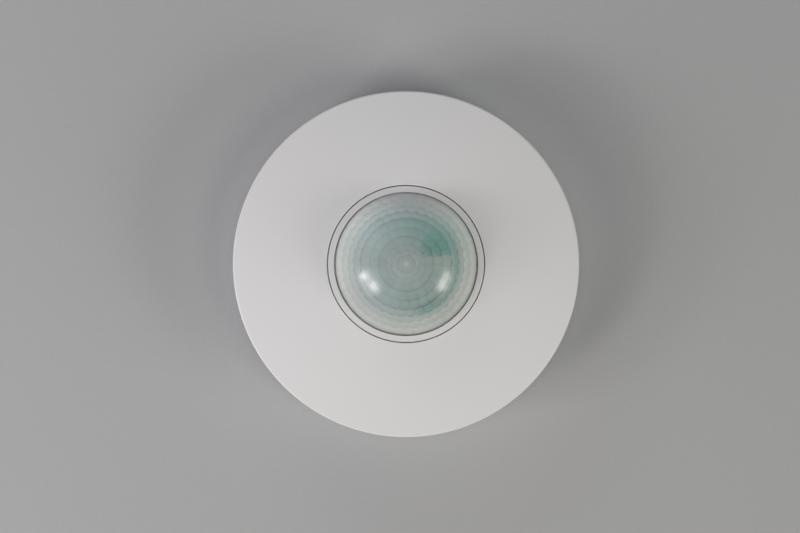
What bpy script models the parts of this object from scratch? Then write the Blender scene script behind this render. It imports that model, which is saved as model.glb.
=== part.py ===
"""Ceiling motion sensor, surface-mounting, lying on its back with the lens up.

The base is screwed to the ceiling by its face at z = 0. The sensor head plugs into it, a bayonet ring holds
the Fresnel lens on the head, and a domed cover disc hides the settings. Everything is centred on the Z axis.
"""

import math

import bmesh
import bpy
from mathutils import Matrix, Vector

MM = 0.001
GAP = 0.3 * MM  # air between pieces that touch or run on each other

# Cover disc: a shallow bowed disc with a rounded rim and a short skirt
DISC_RADIUS = 53.0 * MM
DISC_HOLE_RADIUS = 24.05 * MM
DISC_HOLE_Z = 23.6 * MM
DISC_SLOPE = 0.087
DISC_BOW = 1.7
DISC_WALL = 2.0 * MM
DISC_RIM_ROUND = 1.1 * MM
SKIRT_BOTTOM = 15.0 * MM
PEG_CIRCLE = 31.0 * MM
PEG_RADIUS = 1.8 * MM
PEG_BOTTOM = 15.4 * MM
PEG_ANGLES = (45.0, 135.0, 225.0, 315.0)
LIP_WIDTH = 1.6 * MM
LIP_BOTTOM = 18.9 * MM
SKIRT_WALL = 1.9 * MM
EDGE = 0.4 * MM  # the usual broken edge

# Base housing
BASE_RADIUS = 49.0 * MM
BASE_WALL = 2.0 * MM
BASE_TOP = 17.0 * MM
BASE_FLOOR = 2.4 * MM
CABLE_HOLE_RADIUS = 7.5 * MM
SLOT_SPACING = 60.0 * MM
SLOT_WIDTH = 4.4 * MM
SLOT_LENGTH = 10.0 * MM
POST_TOP = 11.3 * MM
POST_RADIUS = 3.6 * MM
HEAD_SCREW_X = 33.0 * MM
HEAD_SCREW_Y = -23.0 * MM

# Terminals
POLE_XS = (-7.5 * MM, 0.0, 7.5 * MM)
BLOCK_SIZE = Vector((24.4, 19.0, 8.5)) * MM
BLOCK_CENTRE = Vector((0.0, -34.7, 6.95)) * MM
BLADE_Y = -41.0 * MM
BLADE_HALF_THICKNESS = 0.4 * MM
BLADE_HALF_WIDTH = 1.6 * MM
BLADE_TIP = 4.6 * MM
STRIP_THICKNESS = 0.4 * MM
PUSHER_Y = -35.8 * MM
PUSHER_TOP = 11.2 * MM
PUSHER_HEIGHT = 3.2 * MM

# Sensor head
HEAD_RADIUS = 46.5 * MM
BACK_PLATE_LOW = 11.6 * MM
BACK_PLATE_HIGH = 12.8 * MM
TRAY_RADIUS = 44.0 * MM
TRAY_FLAT_Y = 9.6 * MM
TRAY_BOTTOM = 3.0 * MM
TRAY_WALL = 1.3 * MM
BOARD_RADIUS = 44.0 * MM
BOARD_LOW = 13.1 * MM
BOARD_HIGH = 14.7 * MM
PLATE_LOW = 16.4 * MM
COLLAR_INNER = 20.4 * MM
COLLAR_OUTER = 21.8 * MM
COLLAR_TOP = 19.2 * MM
MOAT_FLOOR = 15.9 * MM
MOAT_OUTER = 25.0 * MM
SHELF_INNER = 18.4 * MM
SHELF_OUTER = 26.6 * MM
PLATE_TOP_INSIDE = 18.3 * MM
PLATE_TOP_OUTSIDE = 17.8 * MM
HEAD_WALL = 1.4 * MM
FACE_CUT = (15.5 * MM, 20.0 * MM)  # from and to: the height that a hole in the face plate is cut through
BACK_CUT = (10.0 * MM, 14.0 * MM)
BOARD_CUT = (12.0 * MM, 16.0 * MM)
SHANK_HOLE = 1.9 * MM  # a head screw's clearance hole, radius
SCREW_RECESS = 3.3 * MM
SCREW_RECESS_FLOOR = 17.2 * MM
HOUSING_SCREWS = [(x * MM, y * MM) for x, y in ((40.5, 4.0), (-40.5, 4.0), (20.0, -36.5), (-20.0, -36.5))]

# Settings on the head's face
DIAL_CIRCLE = 35.0 * MM
DIAL_RADIUS = 4.2 * MM
DIAL_ANGLES = {"range": 60.0, "time": 90.0, "lux": 120.0}
SWITCH_CENTRE = Vector((31.8, -8.0, 0.0)) * MM
SLIDER_TRAVEL = 2.0 * MM
SLIDER_XS = {"left": 29.6 * MM, "right": 34.0 * MM}
BUTTON_CENTRE = Vector((-31.8, -8.0, 0.0)) * MM
BUTTON_RADIUS = 3.0 * MM

# Lens and its ring
LENS_RADIUS = 21.7 * MM
LENS_SPHERE = 24.0 * MM
LENS_FOOT_Z = 24.0 * MM
LENS_WALL = 1.0 * MM
FLANGE_RADIUS = 22.5 * MM
FLANGE_LOW = 20.4 * MM
FLANGE_HIGH = 21.6 * MM
RING_OUTER = 23.7 * MM
RING_INNER = 22.0 * MM
RING_TOP = 24.1 * MM
RING_BOTTOM = 16.2 * MM
LUG_RADIUS = 22.1 * MM
LUG_HALF_WIDTH = 3.8 * MM
LUG_LOW = 16.4 * MM
LUG_HIGH = 17.4 * MM
RIB_RADIUS = 22.0 * MM
RIB_HALF_WIDTH = 5.2 * MM
RIB_LOW = 17.7 * MM
RIB_HIGH = 18.9 * MM
BAYONET_TURNS = (0.0, 120.0, 240.0)
SEAL_INNER = 20.6 * MM
SEAL_OUTER = 21.7 * MM

# Sensor board and what stands on it
SENSOR_BOARD_RADIUS = 19.8 * MM
SENSOR_BOARD_LOW = 16.0 * MM
SENSOR_BOARD_HIGH = 17.2 * MM
SENSOR_TOP = SENSOR_BOARD_HIGH + GAP
LIGHT_PLACE = (9.5 * MM, 8.5 * MM, SENSOR_TOP)
LED_PLACE = (-9.5 * MM, 9.0 * MM, SENSOR_TOP)
RECEIVER_PLACE = (10.0 * MM, -9.0 * MM, SENSOR_TOP)
CHIP_PLACE = (-9.5 * MM, -8.5 * MM, SENSOR_TOP)

ROUND_STEPS = 48
MEDIUM_STEPS = 24
SMALL_STEPS = 12

COLOURS = {  # name: (red, green, blue, roughness, metallic), linear values
    "white_plastic": (0.72, 0.72, 0.72, 0.45, 0.0),
    "base_plastic": (0.66, 0.66, 0.65, 0.5, 0.0),
    "lens_plastic": (0.55, 0.62, 0.58, 0.3, 0.0),
    "grey_plastic": (0.35, 0.35, 0.36, 0.5, 0.0),
    "black_plastic": (0.03, 0.03, 0.03, 0.5, 0.0),
    "orange_plastic": (0.75, 0.22, 0.03, 0.45, 0.0),
    "blue_plastic": (0.04, 0.12, 0.45, 0.4, 0.0),
    "yellow_plastic": (0.72, 0.5, 0.06, 0.4, 0.0),
    "rubber": (0.05, 0.05, 0.05, 0.8, 0.0),
    "soft_seal": (0.3, 0.3, 0.3, 0.7, 0.0),
    "green_board": (0.02, 0.2, 0.12, 0.4, 0.0),
    "steel": (0.6, 0.6, 0.6, 0.35, 1.0),
    "brass": (0.75, 0.55, 0.25, 0.35, 1.0),
    "copper": (0.8, 0.4, 0.2, 0.4, 1.0),
    "dark_filter": (0.02, 0.015, 0.02, 0.2, 0.0),
    "led_red": (0.6, 0.04, 0.03, 0.3, 0.0),
    "clear_cell": (0.5, 0.5, 0.45, 0.2, 0.0),
}

for old_object in list(bpy.data.objects):
    bpy.data.objects.remove(old_object, do_unlink=True)

parts = bpy.data.collections.new("motion_sensor")
cutters = bpy.data.collections.new("cutters")
for collection in (parts, cutters):
    bpy.context.scene.collection.children.link(collection)


def material_of(name, kind):
    """A sub-part's own material, in one of the named colours."""
    red, green, blue, roughness, metallic = COLOURS[kind]
    made = bpy.data.materials.new(name)
    made.use_nodes = True
    shader = made.node_tree.nodes["Principled BSDF"]
    shader.inputs["Base Color"].default_value = (red, green, blue, 1.0)
    shader.inputs["Roughness"].default_value = roughness
    shader.inputs["Metallic"].default_value = metallic
    return made


def add_part(name, mesh, kind, place=(0.0, 0.0, 0.0), parent=None):
    """Put a mesh in the object's collection as one named sub-part."""
    piece = bpy.data.objects.new(name, mesh)
    parts.objects.link(piece)
    piece.location = place
    piece.parent = parent
    mesh.materials.append(material_of(name, kind))
    return piece


def add_cutter(name, mesh):
    """Put a mesh in the cutters' collection, unseen by renders."""
    tool = bpy.data.objects.new(name, mesh)
    cutters.objects.link(tool)
    tool.hide_render = True
    tool.display_type = "WIRE"
    return tool


def group_origin(name, height=0.0):
    """An empty on the Z axis that carries a group of pieces."""
    empty = bpy.data.objects.new(name, None)
    empty.location = (0.0, 0.0, height)
    parts.objects.link(empty)
    return empty


def box_mesh(name, low, high):
    """A box between two corners."""
    low, high = Vector(low), Vector(high)
    size = high - low
    cube = bmesh.new()
    place = Matrix.Translation((low + high) / 2)
    bmesh.ops.create_cube(cube, size=1.0, matrix=place @ Matrix.Diagonal((*size, 1.0)))
    mesh = bpy.data.meshes.new(name)
    cube.to_mesh(mesh)
    cube.free()
    return mesh


def rod_meshes(name, rods, steps=MEDIUM_STEPS):
    """Upright cylinders in one mesh, each given as (x, y, radius, low z, high z)."""
    grid = bmesh.new()
    for x, y, radius, low, high in rods:
        place = Matrix.Translation((x, y, (low + high) / 2))
        bmesh.ops.create_cone(grid, cap_ends=True, segments=steps, radius1=radius, radius2=radius,
                              depth=high - low, matrix=place)
    mesh = bpy.data.meshes.new(name)
    grid.to_mesh(mesh)
    grid.free()
    return mesh


def boxes_mesh(name, boxes):
    """Several boxes in one mesh, each given as (low corner, high corner, turn about Z in degrees)."""
    grid = bmesh.new()
    for low, high, turn in boxes:
        low, high = Vector(low), Vector(high)
        size = high - low
        place = Matrix.Rotation(math.radians(turn), 4, "Z") @ Matrix.Translation((low + high) / 2)
        bmesh.ops.create_cube(grid, size=1.0, matrix=place @ Matrix.Diagonal((*size, 1.0)))
    mesh = bpy.data.meshes.new(name)
    grid.to_mesh(mesh)
    grid.free()
    return mesh


def smooth(mesh, angle=35.0):
    """Shade round faces smooth and keep the real edges sharp."""
    mesh.shade_smooth()
    mesh.set_sharp_from_angle(angle=math.radians(angle))


def add_screw(piece, steps):
    """Turn a profile about Z."""
    turn = piece.modifiers.new("Screw", "SCREW")
    turn.axis = "Z"
    turn.steps = steps
    turn.render_steps = steps
    turn.use_merge_vertices = True
    turn.merge_threshold = 0.00001


def turned(name, profile, kind, steps=ROUND_STEPS, place=(0.0, 0.0, 0.0), parent=None, closed=True):
    """A turned piece: its profile of (radius, height) runs down the outer side, top to bottom."""
    mesh = bpy.data.meshes.new(name)
    edges = [(i, i + 1) for i in range(len(profile) - 1)]
    if closed:
        edges.append((len(profile) - 1, 0))
    mesh.from_pydata([(radius, 0.0, height) for radius, height in profile], edges, [])
    piece = add_part(name, mesh, kind, place, parent)
    add_screw(piece, steps)
    return piece


def block(name, low, high, kind, bevel=0.0, place=(0.0, 0.0, 0.0), parent=None):
    """A box-shaped piece with broken edges."""
    piece = add_part(name, box_mesh(name, low, high), kind, place, parent)
    if bevel > 0.0:
        rounding = piece.modifiers.new("Bevel", "BEVEL")
        rounding.width = bevel
        rounding.segments = 1
    return piece


def boolean(piece, tool_mesh, operation):
    """Cut, join or trim a piece with a mesh."""
    tool = add_cutter(tool_mesh.name, tool_mesh)
    step = piece.modifiers.new(tool_mesh.name, "BOOLEAN")
    step.operation = operation
    step.object = tool
    return tool


def cut(piece, tool_mesh):
    """Take a mesh away from a piece."""
    return boolean(piece, tool_mesh, "DIFFERENCE")


def join(piece, tool_mesh):
    """Fuse a mesh onto a piece."""
    return boolean(piece, tool_mesh, "UNION")


def outline_mesh(name, points, low, high):
    """A flat outline as a filled 2D curve, thickened from low to high and welded into a closed mesh."""
    curve = bpy.data.curves.new(name, "CURVE")
    curve.dimensions = "2D"
    curve.fill_mode = "BOTH"
    curve.extrude = (high - low) / 2
    line = curve.splines.new("POLY")
    line.points.add(len(points) - 1)
    for point, (x, y) in zip(line.points, points):
        point.co = (x, y, 0.0, 1.0)
    line.use_cyclic_u = True
    holder = bpy.data.objects.new(name, curve)
    cutters.objects.link(holder)
    holder.location = (0.0, 0.0, (low + high) / 2)
    bpy.context.view_layer.update()
    mesh = bpy.data.meshes.new_from_object(holder.evaluated_get(bpy.context.evaluated_depsgraph_get()))
    mesh.transform(holder.matrix_world)
    bpy.data.objects.remove(holder, do_unlink=True)
    grid = bmesh.new()
    grid.from_mesh(mesh)
    bmesh.ops.remove_doubles(grid, verts=grid.verts, dist=0.00001)
    bmesh.ops.recalc_face_normals(grid, faces=grid.faces)
    grid.to_mesh(mesh)
    grid.free()
    return mesh


def bent_strip(name, path, width, thickness, kind, place, parent):
    """A sheet-metal strip bent along a path of (across, height), as wide as given."""
    grid = bmesh.new()
    rows = []
    for side in (-0.5, 0.5):
        rows.append([grid.verts.new((side * width, along, height)) for along, height in path])
    for i in range(len(path) - 1):
        grid.faces.new((rows[0][i], rows[0][i + 1], rows[1][i + 1], rows[1][i]))
    mesh = bpy.data.meshes.new(name)
    grid.to_mesh(mesh)
    grid.free()
    piece = add_part(name, mesh, kind, place, parent)
    sheet = piece.modifiers.new("Solidify", "SOLIDIFY")
    sheet.thickness = thickness
    sheet.offset = 0.0
    sheet.use_even_offset = True
    return piece


def arc(centre, radius, start, end, count):
    """Points on an arc in a profile's plane, angles in degrees from the outward direction."""
    angles = [math.radians(start + (end - start) * i / (count - 1)) for i in range(count)]
    return [(centre[0] + radius * math.cos(a), centre[1] + radius * math.sin(a)) for a in angles]


def around(radius, angle):
    """The point at a radius and an angle in degrees about Z."""
    return radius * math.cos(math.radians(angle)), radius * math.sin(math.radians(angle))


def disc_top(radius):
    """Height of the cover disc's bowed upper face at a radius."""
    out = radius - DISC_HOLE_RADIUS
    return DISC_HOLE_Z - DISC_SLOPE * out - DISC_BOW * out * out


def make_cover(parent):
    """The bowed cover disc, with a lip round its hole, a skirt and four pegs that hold it on the head."""
    rim_centre = (DISC_RADIUS - DISC_RIM_ROUND, disc_top(DISC_RADIUS - DISC_RIM_ROUND) - DISC_RIM_ROUND)
    skirt_inner = DISC_RADIUS - SKIRT_WALL
    lip_outer = DISC_HOLE_RADIUS + LIP_WIDTH
    face_start = DISC_HOLE_RADIUS + EDGE
    face_step = (rim_centre[0] - face_start) / 5
    profile = [(face_start + face_step * i, disc_top(face_start + face_step * i)) for i in range(5)]
    profile += arc(rim_centre, DISC_RIM_ROUND, 80.0, 0.0, 4)
    profile += [(DISC_RADIUS, SKIRT_BOTTOM + EDGE), (DISC_RADIUS - EDGE, SKIRT_BOTTOM)]
    profile += [(skirt_inner, SKIRT_BOTTOM), (skirt_inner, disc_top(skirt_inner) - DISC_WALL)]
    under_step = (skirt_inner - lip_outer) / 4
    under_radii = [skirt_inner - under_step * i for i in range(1, 5)]
    profile += [(r, disc_top(r) - DISC_WALL) for r in under_radii]
    profile += [(lip_outer, LIP_BOTTOM), (DISC_HOLE_RADIUS, LIP_BOTTOM),
                (DISC_HOLE_RADIUS, disc_top(DISC_HOLE_RADIUS) - EDGE)]
    cover = turned("cover_disc", profile, "white_plastic", parent=parent)
    peg_top = disc_top(PEG_CIRCLE) - DISC_WALL / 2
    pegs = [(*around(PEG_CIRCLE, angle), PEG_RADIUS, PEG_BOTTOM, peg_top) for angle in PEG_ANGLES]
    join(cover, rod_meshes("cover_pegs", pegs, SMALL_STEPS))


def make_lens_ring(parent):
    """The narrow ring over the lens's flange, with three bayonet lugs inside its foot."""
    wide = FLANGE_RADIUS + GAP
    profile = [(RING_INNER, RING_TOP - EDGE), (RING_INNER + EDGE, RING_TOP),
               (RING_OUTER - EDGE, RING_TOP), (RING_OUTER, RING_TOP - EDGE),
               (RING_OUTER, RING_BOTTOM), (wide, RING_BOTTOM),
               (wide, FLANGE_HIGH + GAP), (RING_INNER, FLANGE_HIGH + GAP)]
    ring = turned("lens_ring", profile, "white_plastic", parent=parent)
    lug_low = (LUG_RADIUS, -LUG_HALF_WIDTH, LUG_LOW)
    lug_high = ((wide + RING_OUTER) / 2, LUG_HALF_WIDTH, LUG_HIGH)
    join(ring, boxes_mesh("ring_lugs", [(lug_low, lug_high, turn) for turn in BAYONET_TURNS]))


def make_lens(parent):
    """The Fresnel lens's dome and foot flange, and the soft gasket under the flange."""
    centre_z = LENS_FOOT_Z - math.sqrt(LENS_SPHERE ** 2 - LENS_RADIUS ** 2)
    foot_angle = math.degrees(math.asin((LENS_FOOT_Z - centre_z) / LENS_SPHERE))
    inner_foot = LENS_RADIUS - LENS_WALL
    inner_angle = math.degrees(math.acos(inner_foot / (LENS_SPHERE - LENS_WALL)))
    profile = [(0.0, centre_z + LENS_SPHERE)]
    profile += arc((0.0, centre_z), LENS_SPHERE, 82.0, foot_angle, 8)
    profile += [(LENS_RADIUS, FLANGE_HIGH), (FLANGE_RADIUS, FLANGE_HIGH), (FLANGE_RADIUS, FLANGE_LOW),
                (inner_foot, FLANGE_LOW)]
    profile += arc((0.0, centre_z), LENS_SPHERE - LENS_WALL, inner_angle, 80.0, 6)
    profile += [(0.0, centre_z + LENS_SPHERE - LENS_WALL)]
    turned("lens_dome", profile, "lens_plastic", parent=parent, closed=False)
    seal_low = COLLAR_TOP + GAP
    seal_high = FLANGE_LOW - GAP
    seal = [(SEAL_INNER, seal_high), (SEAL_OUTER, seal_high), (SEAL_OUTER, seal_low), (SEAL_INNER, seal_low)]
    turned("lens_seal", seal, "soft_seal", MEDIUM_STEPS, parent=parent)


def make_head_front(parent):
    """The head's carrier: face plate, outer wall, and the collar that takes the board, lens and ring."""
    underside = BOARD_HIGH + GAP
    shelf_top = SENSOR_BOARD_LOW - GAP
    inner_wall = HEAD_RADIUS - HEAD_WALL
    profile = [(COLLAR_INNER, COLLAR_TOP), (COLLAR_OUTER, COLLAR_TOP), (COLLAR_OUTER, MOAT_FLOOR),
               (MOAT_OUTER, MOAT_FLOOR), (MOAT_OUTER, PLATE_TOP_INSIDE),
               (HEAD_RADIUS - EDGE, PLATE_TOP_OUTSIDE), (HEAD_RADIUS, PLATE_TOP_OUTSIDE - EDGE),
               (HEAD_RADIUS, BOARD_LOW), (inner_wall, BOARD_LOW),
               (inner_wall, PLATE_LOW), (SHELF_OUTER, PLATE_LOW), (SHELF_OUTER, underside),
               (SHELF_INNER, underside), (SHELF_INNER, shelf_top), (COLLAR_INNER, shelf_top)]
    head = turned("head_front", profile, "white_plastic", parent=parent)

    rib_low = (COLLAR_OUTER - GAP, -RIB_HALF_WIDTH, RIB_LOW)
    rib_high = (RIB_RADIUS, RIB_HALF_WIDTH, RIB_HIGH)
    join(head, boxes_mesh("collar_ribs", [(rib_low, rib_high, turn) for turn in BAYONET_TURNS]))
    boss_radius = 2.4 * MM
    bosses = [(x, y, boss_radius, underside, PLATE_LOW + EDGE) for x, y in HOUSING_SCREWS]
    join(head, rod_meshes("screw_bosses", bosses, SMALL_STEPS))

    holes = [(*around(DIAL_CIRCLE, angle), DIAL_RADIUS + EDGE, *FACE_CUT) for angle in DIAL_ANGLES.values()]
    holes.append((BUTTON_CENTRE.x, BUTTON_CENTRE.y, BUTTON_RADIUS + EDGE, *FACE_CUT))
    cut(head, rod_meshes("setting_holes", holes, MEDIUM_STEPS))
    pilot_radius = 1.3 * MM
    pilot_depth = (14.0 * MM, 17.5 * MM)
    small = [(*around(PEG_CIRCLE, angle), PEG_RADIUS + EDGE, *FACE_CUT) for angle in PEG_ANGLES]
    small += [(side * HEAD_SCREW_X, HEAD_SCREW_Y, SHANK_HOLE, *FACE_CUT) for side in (-1, 1)]
    small += [(x, y, pilot_radius, *pilot_depth) for x, y in HOUSING_SCREWS]
    cut(head, rod_meshes("pin_holes", small, SMALL_STEPS))
    recesses = [(side * HEAD_SCREW_X, HEAD_SCREW_Y, SCREW_RECESS, SCREW_RECESS_FLOOR, FACE_CUT[1])
                for side in (-1, 1)]
    cut(head, rod_meshes("screw_recesses", recesses, SMALL_STEPS))
    half_width, half_length = 1.2 * MM, 2.3 * MM
    slots = [((x - half_width, SWITCH_CENTRE.y - half_length, FACE_CUT[0]),
              (x + half_width, SWITCH_CENTRE.y + half_length, FACE_CUT[1]), 0.0) for x in SLIDER_XS.values()]
    cut(head, boxes_mesh("slider_slots", slots))


def d_outline(radius, flat_y, count=28):
    """A D shape: a circle's part beyond a straight edge at flat_y."""
    start = math.degrees(math.asin(flat_y / radius))
    return [around(radius, start + (180.0 - 2 * start) * i / (count - 1)) for i in range(count)]


def make_head_back(parent):
    """The head's closed back: a plate under the board, and a D-shaped tray round the tall components."""
    plate_radius = HEAD_RADIUS - 0.5 * MM
    plate = rod_meshes("head_back", [(0.0, 0.0, plate_radius, BACK_PLATE_LOW, BACK_PLATE_HIGH)], ROUND_STEPS)
    back = add_part("head_back", plate, "grey_plastic", parent=parent)
    tray_top = (BACK_PLATE_LOW + BACK_PLATE_HIGH) / 2
    join(back, outline_mesh("tray_outside", d_outline(TRAY_RADIUS, TRAY_FLAT_Y), TRAY_BOTTOM, tray_top))
    inside = d_outline(TRAY_RADIUS - TRAY_WALL, TRAY_FLAT_Y + TRAY_WALL)
    cut(back, outline_mesh("tray_inside", inside, TRAY_BOTTOM + TRAY_WALL, BACK_CUT[1]))
    screw_hole = 1.4 * MM
    holes = [(x, y, screw_hole, *BACK_CUT) for x, y in HOUSING_SCREWS]
    holes += [(side * HEAD_SCREW_X, HEAD_SCREW_Y, SHANK_HOLE, *BACK_CUT) for side in (-1, 1)]
    cut(back, rod_meshes("back_holes", holes, SMALL_STEPS))
    reach_x, reach_y = BLADE_HALF_THICKNESS + 0.5 * MM, BLADE_HALF_WIDTH + 0.5 * MM
    slots = [((x - reach_x, BLADE_Y - reach_y, BACK_CUT[0]),
              (x + reach_x, BLADE_Y + reach_y, BACK_CUT[1]), 0.0) for x in POLE_XS]
    cut(back, boxes_mesh("blade_slots", slots))


def make_base():
    """The base: a round tray with a cable hole, two oblong mounting slots, screw posts and a knock-out."""
    inner = BASE_RADIUS - BASE_WALL
    profile = [(inner, BASE_TOP), (BASE_RADIUS - 0.4 * MM, BASE_TOP), (BASE_RADIUS, BASE_TOP - 0.4 * MM),
               (BASE_RADIUS, 0.8 * MM), (BASE_RADIUS - 0.8 * MM, 0.0), (CABLE_HOLE_RADIUS, 0.0),
               (CABLE_HOLE_RADIUS, BASE_FLOOR), (inner, BASE_FLOOR)]
    base = turned("base_housing", profile, "base_plastic")
    post_low = BASE_FLOOR - EDGE
    posts = [(side * HEAD_SCREW_X, HEAD_SCREW_Y, POST_RADIUS, post_low, POST_TOP) for side in (-1, 1)]
    join(base, rod_meshes("screw_posts", posts, SMALL_STEPS))
    ledge_half, ledge_low = 4.0 * MM, 7.0 * MM
    ledge = ((inner - 2.0 * MM, -ledge_half, ledge_low), (inner + 0.6 * MM, ledge_half, POST_TOP))
    join(base, boxes_mesh("head_ledges", [(*ledge, turn) for turn in (30.0, 150.0)]))
    pilot_radius, pilot_floor = 1.8 * MM, 3.6 * MM
    pilots = [(side * HEAD_SCREW_X, HEAD_SCREW_Y, pilot_radius, pilot_floor, 12.0 * MM) for side in (-1, 1)]
    cut(base, rod_meshes("post_pilots", pilots, SMALL_STEPS))
    half_width = SLOT_WIDTH / 2
    straight = SLOT_LENGTH / 2 - half_width
    for side in (-1, 1):
        centre_x = side * SLOT_SPACING / 2
        end = arc((centre_x, straight), half_width, 0.0, 180.0, 7)
        other_end = arc((centre_x, -straight), half_width, 180.0, 360.0, 7)
        cut(base, outline_mesh(f"mounting_slot_{side}", end + other_end, -1.0 * MM, 4.0 * MM))
    knock_out = ((-50.0 * MM, -5.5 * MM, 2.6 * MM), (-48.0 * MM, 5.5 * MM, 12.0 * MM), 12.0)
    cut(base, boxes_mesh("knock_out", [knock_out]))


def make_grommet():
    """The rubber grommet in the base's cable hole, with a pierced membrane."""
    neck = CABLE_HOLE_RADIUS - GAP
    bore = 3.3 * MM
    bowl = 6.2 * MM
    lip = CABLE_HOLE_RADIUS + 1.6 * MM
    profile = [(bore, 2.2 * MM), (bowl, 2.2 * MM), (bowl, 3.6 * MM), (lip, 3.6 * MM), (lip, 2.7 * MM),
               (neck, 2.7 * MM), (neck, 0.3 * MM), (bowl, 0.3 * MM), (bowl, 1.2 * MM), (bore, 1.2 * MM)]
    turned("cable_grommet", profile, "rubber", MEDIUM_STEPS)


def make_terminal_block():
    """The terminal block: a wire hole, clamp pocket, pusher slot and blade socket for each pole."""
    half = BLOCK_SIZE / 2
    terminal = block("terminal_block", BLOCK_CENTRE - half, BLOCK_CENTRE + half, "grey_plastic")
    low_z = 2.0 * MM
    top_z = 12.0 * MM
    pockets = []
    shafts = []
    for x in POLE_XS:
        pockets.append(((x - 2.0 * MM, -37.4 * MM, low_z), (x + 2.0 * MM, -26.8 * MM, 9.7 * MM), 0.0))
        pockets.append(((x - 1.9 * MM, BLADE_Y - 2.4 * MM, low_z),
                        (x + 1.9 * MM, BLADE_Y + 2.6 * MM, top_z), 0.0))
        shafts.append(((x - 2.0 * MM, -37.4 * MM, 9.0 * MM), (x + 2.0 * MM, -34.2 * MM, top_z), 0.0))
        shafts.append(((x - 1.8 * MM, -39.0 * MM, low_z), (x + 1.8 * MM, -37.0 * MM, 3.8 * MM), 0.0))
    cut(terminal, boxes_mesh("block_pockets", pockets))
    cut(terminal, boxes_mesh("block_shafts", shafts))
    wires = bmesh.new()
    for x in POLE_XS:
        place = Matrix.Translation((x, -25.6 * MM, 6.6 * MM)) @ Matrix.Rotation(math.radians(90.0), 4, "X")
        bmesh.ops.create_cone(wires, cap_ends=True, segments=SMALL_STEPS, radius1=1.9 * MM, radius2=1.5 * MM,
                              depth=3.4 * MM, matrix=place)
    mesh = bpy.data.meshes.new("wire_holes")
    wires.to_mesh(mesh)
    wires.free()
    cut(terminal, mesh)


def make_poles(head):
    """What each pole holds: leaf clamp, release pusher, stamped contact strip, and the head's plug blade."""
    clamp_path = [(y * MM, z * MM) for y, z in ((-27.4, 4.1), (-35.4, 4.1), (-36.6, 5.0), (-29.2, 8.2))]
    socket_path = [(x * MM, z * MM) for x, z in ((-1.05, 9.0), (-1.05, 3.15), (1.05, 3.15), (1.05, 9.0))]
    for number, x in enumerate(POLE_XS, 1):
        bent_strip(f"terminal_clamp_{number}", clamp_path, 3.2 * MM, STRIP_THICKNESS, "steel",
                   (x, 0.0, 0.0), None)

        strip = bent_strip(f"contact_strip_{number}", socket_path, 3.4 * MM, STRIP_THICKNESS, "brass",
                           (x, BLADE_Y, 0.0), None)
        strip.rotation_euler = (0.0, 0.0, math.radians(90.0))
        tail = ((x - 1.4 * MM, BLADE_Y + 0.5 * MM, 2.95 * MM), (x + 1.4 * MM, -28.0 * MM, 3.35 * MM), 0.0)
        join(strip, boxes_mesh(f"strip_tail_{number}", [tail]))

        pusher_low = (-1.7 * MM, -1.3 * MM, -PUSHER_HEIGHT)
        pusher = block(f"terminal_pusher_{number}", pusher_low, (1.7 * MM, 1.3 * MM, 0.0), "orange_plastic",
                       place=(x, PUSHER_Y, PUSHER_TOP))
        groove = ((x - 3.0 * MM, PUSHER_Y - 0.4 * MM, PUSHER_TOP - 0.8 * MM),
                  (x + 3.0 * MM, PUSHER_Y + 0.4 * MM, PUSHER_TOP + 1.0 * MM), 0.0)
        cut(pusher, boxes_mesh(f"pusher_groove_{number}", [groove]))

        blade_low = (x - BLADE_HALF_THICKNESS, BLADE_Y - BLADE_HALF_WIDTH, BLADE_TIP)
        blade_high = (x + BLADE_HALF_THICKNESS, BLADE_Y + BLADE_HALF_WIDTH, BOARD_LOW - GAP)
        block(f"plug_blade_{number}", blade_low, blade_high, "brass", bevel=0.15 * MM, parent=head)


def make_main_board(parent):
    """The round mains board, with holes for the two kinds of screw."""
    disc = rod_meshes("main_board", [(0.0, 0.0, BOARD_RADIUS, BOARD_LOW, BOARD_HIGH)], ROUND_STEPS)
    board = add_part("main_board", disc, "green_board", parent=parent)
    small_hole, large_hole = 1.6 * MM, 2.2 * MM
    holes = [(x, y, small_hole, *BOARD_CUT) for x, y in HOUSING_SCREWS]
    holes += [(side * HEAD_SCREW_X, HEAD_SCREW_Y, large_hole, *BOARD_CUT) for side in (-1, 1)]
    cut(board, rod_meshes("board_holes", holes, SMALL_STEPS))


def lying_rod(name, centre, radius, length, kind, parent, turn_axis="Y"):
    """A cylinder that lies along X, or along Y when it is turned about X."""
    grid = bmesh.new()
    lay_down = Matrix.Rotation(math.radians(90.0), 4, turn_axis)
    bmesh.ops.create_cone(grid, cap_ends=True, segments=SMALL_STEPS, radius1=radius, radius2=radius,
                          depth=length, matrix=lay_down)
    mesh = bpy.data.meshes.new(name)
    grid.to_mesh(mesh)
    grid.free()
    smooth(mesh)
    piece = add_part(name, mesh, kind, Vector(centre) * MM, parent)
    rounding = piece.modifiers.new("Bevel", "BEVEL")
    rounding.width = radius * 0.12
    rounding.segments = 1
    rounding.limit_method = "ANGLE"
    return piece


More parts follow.
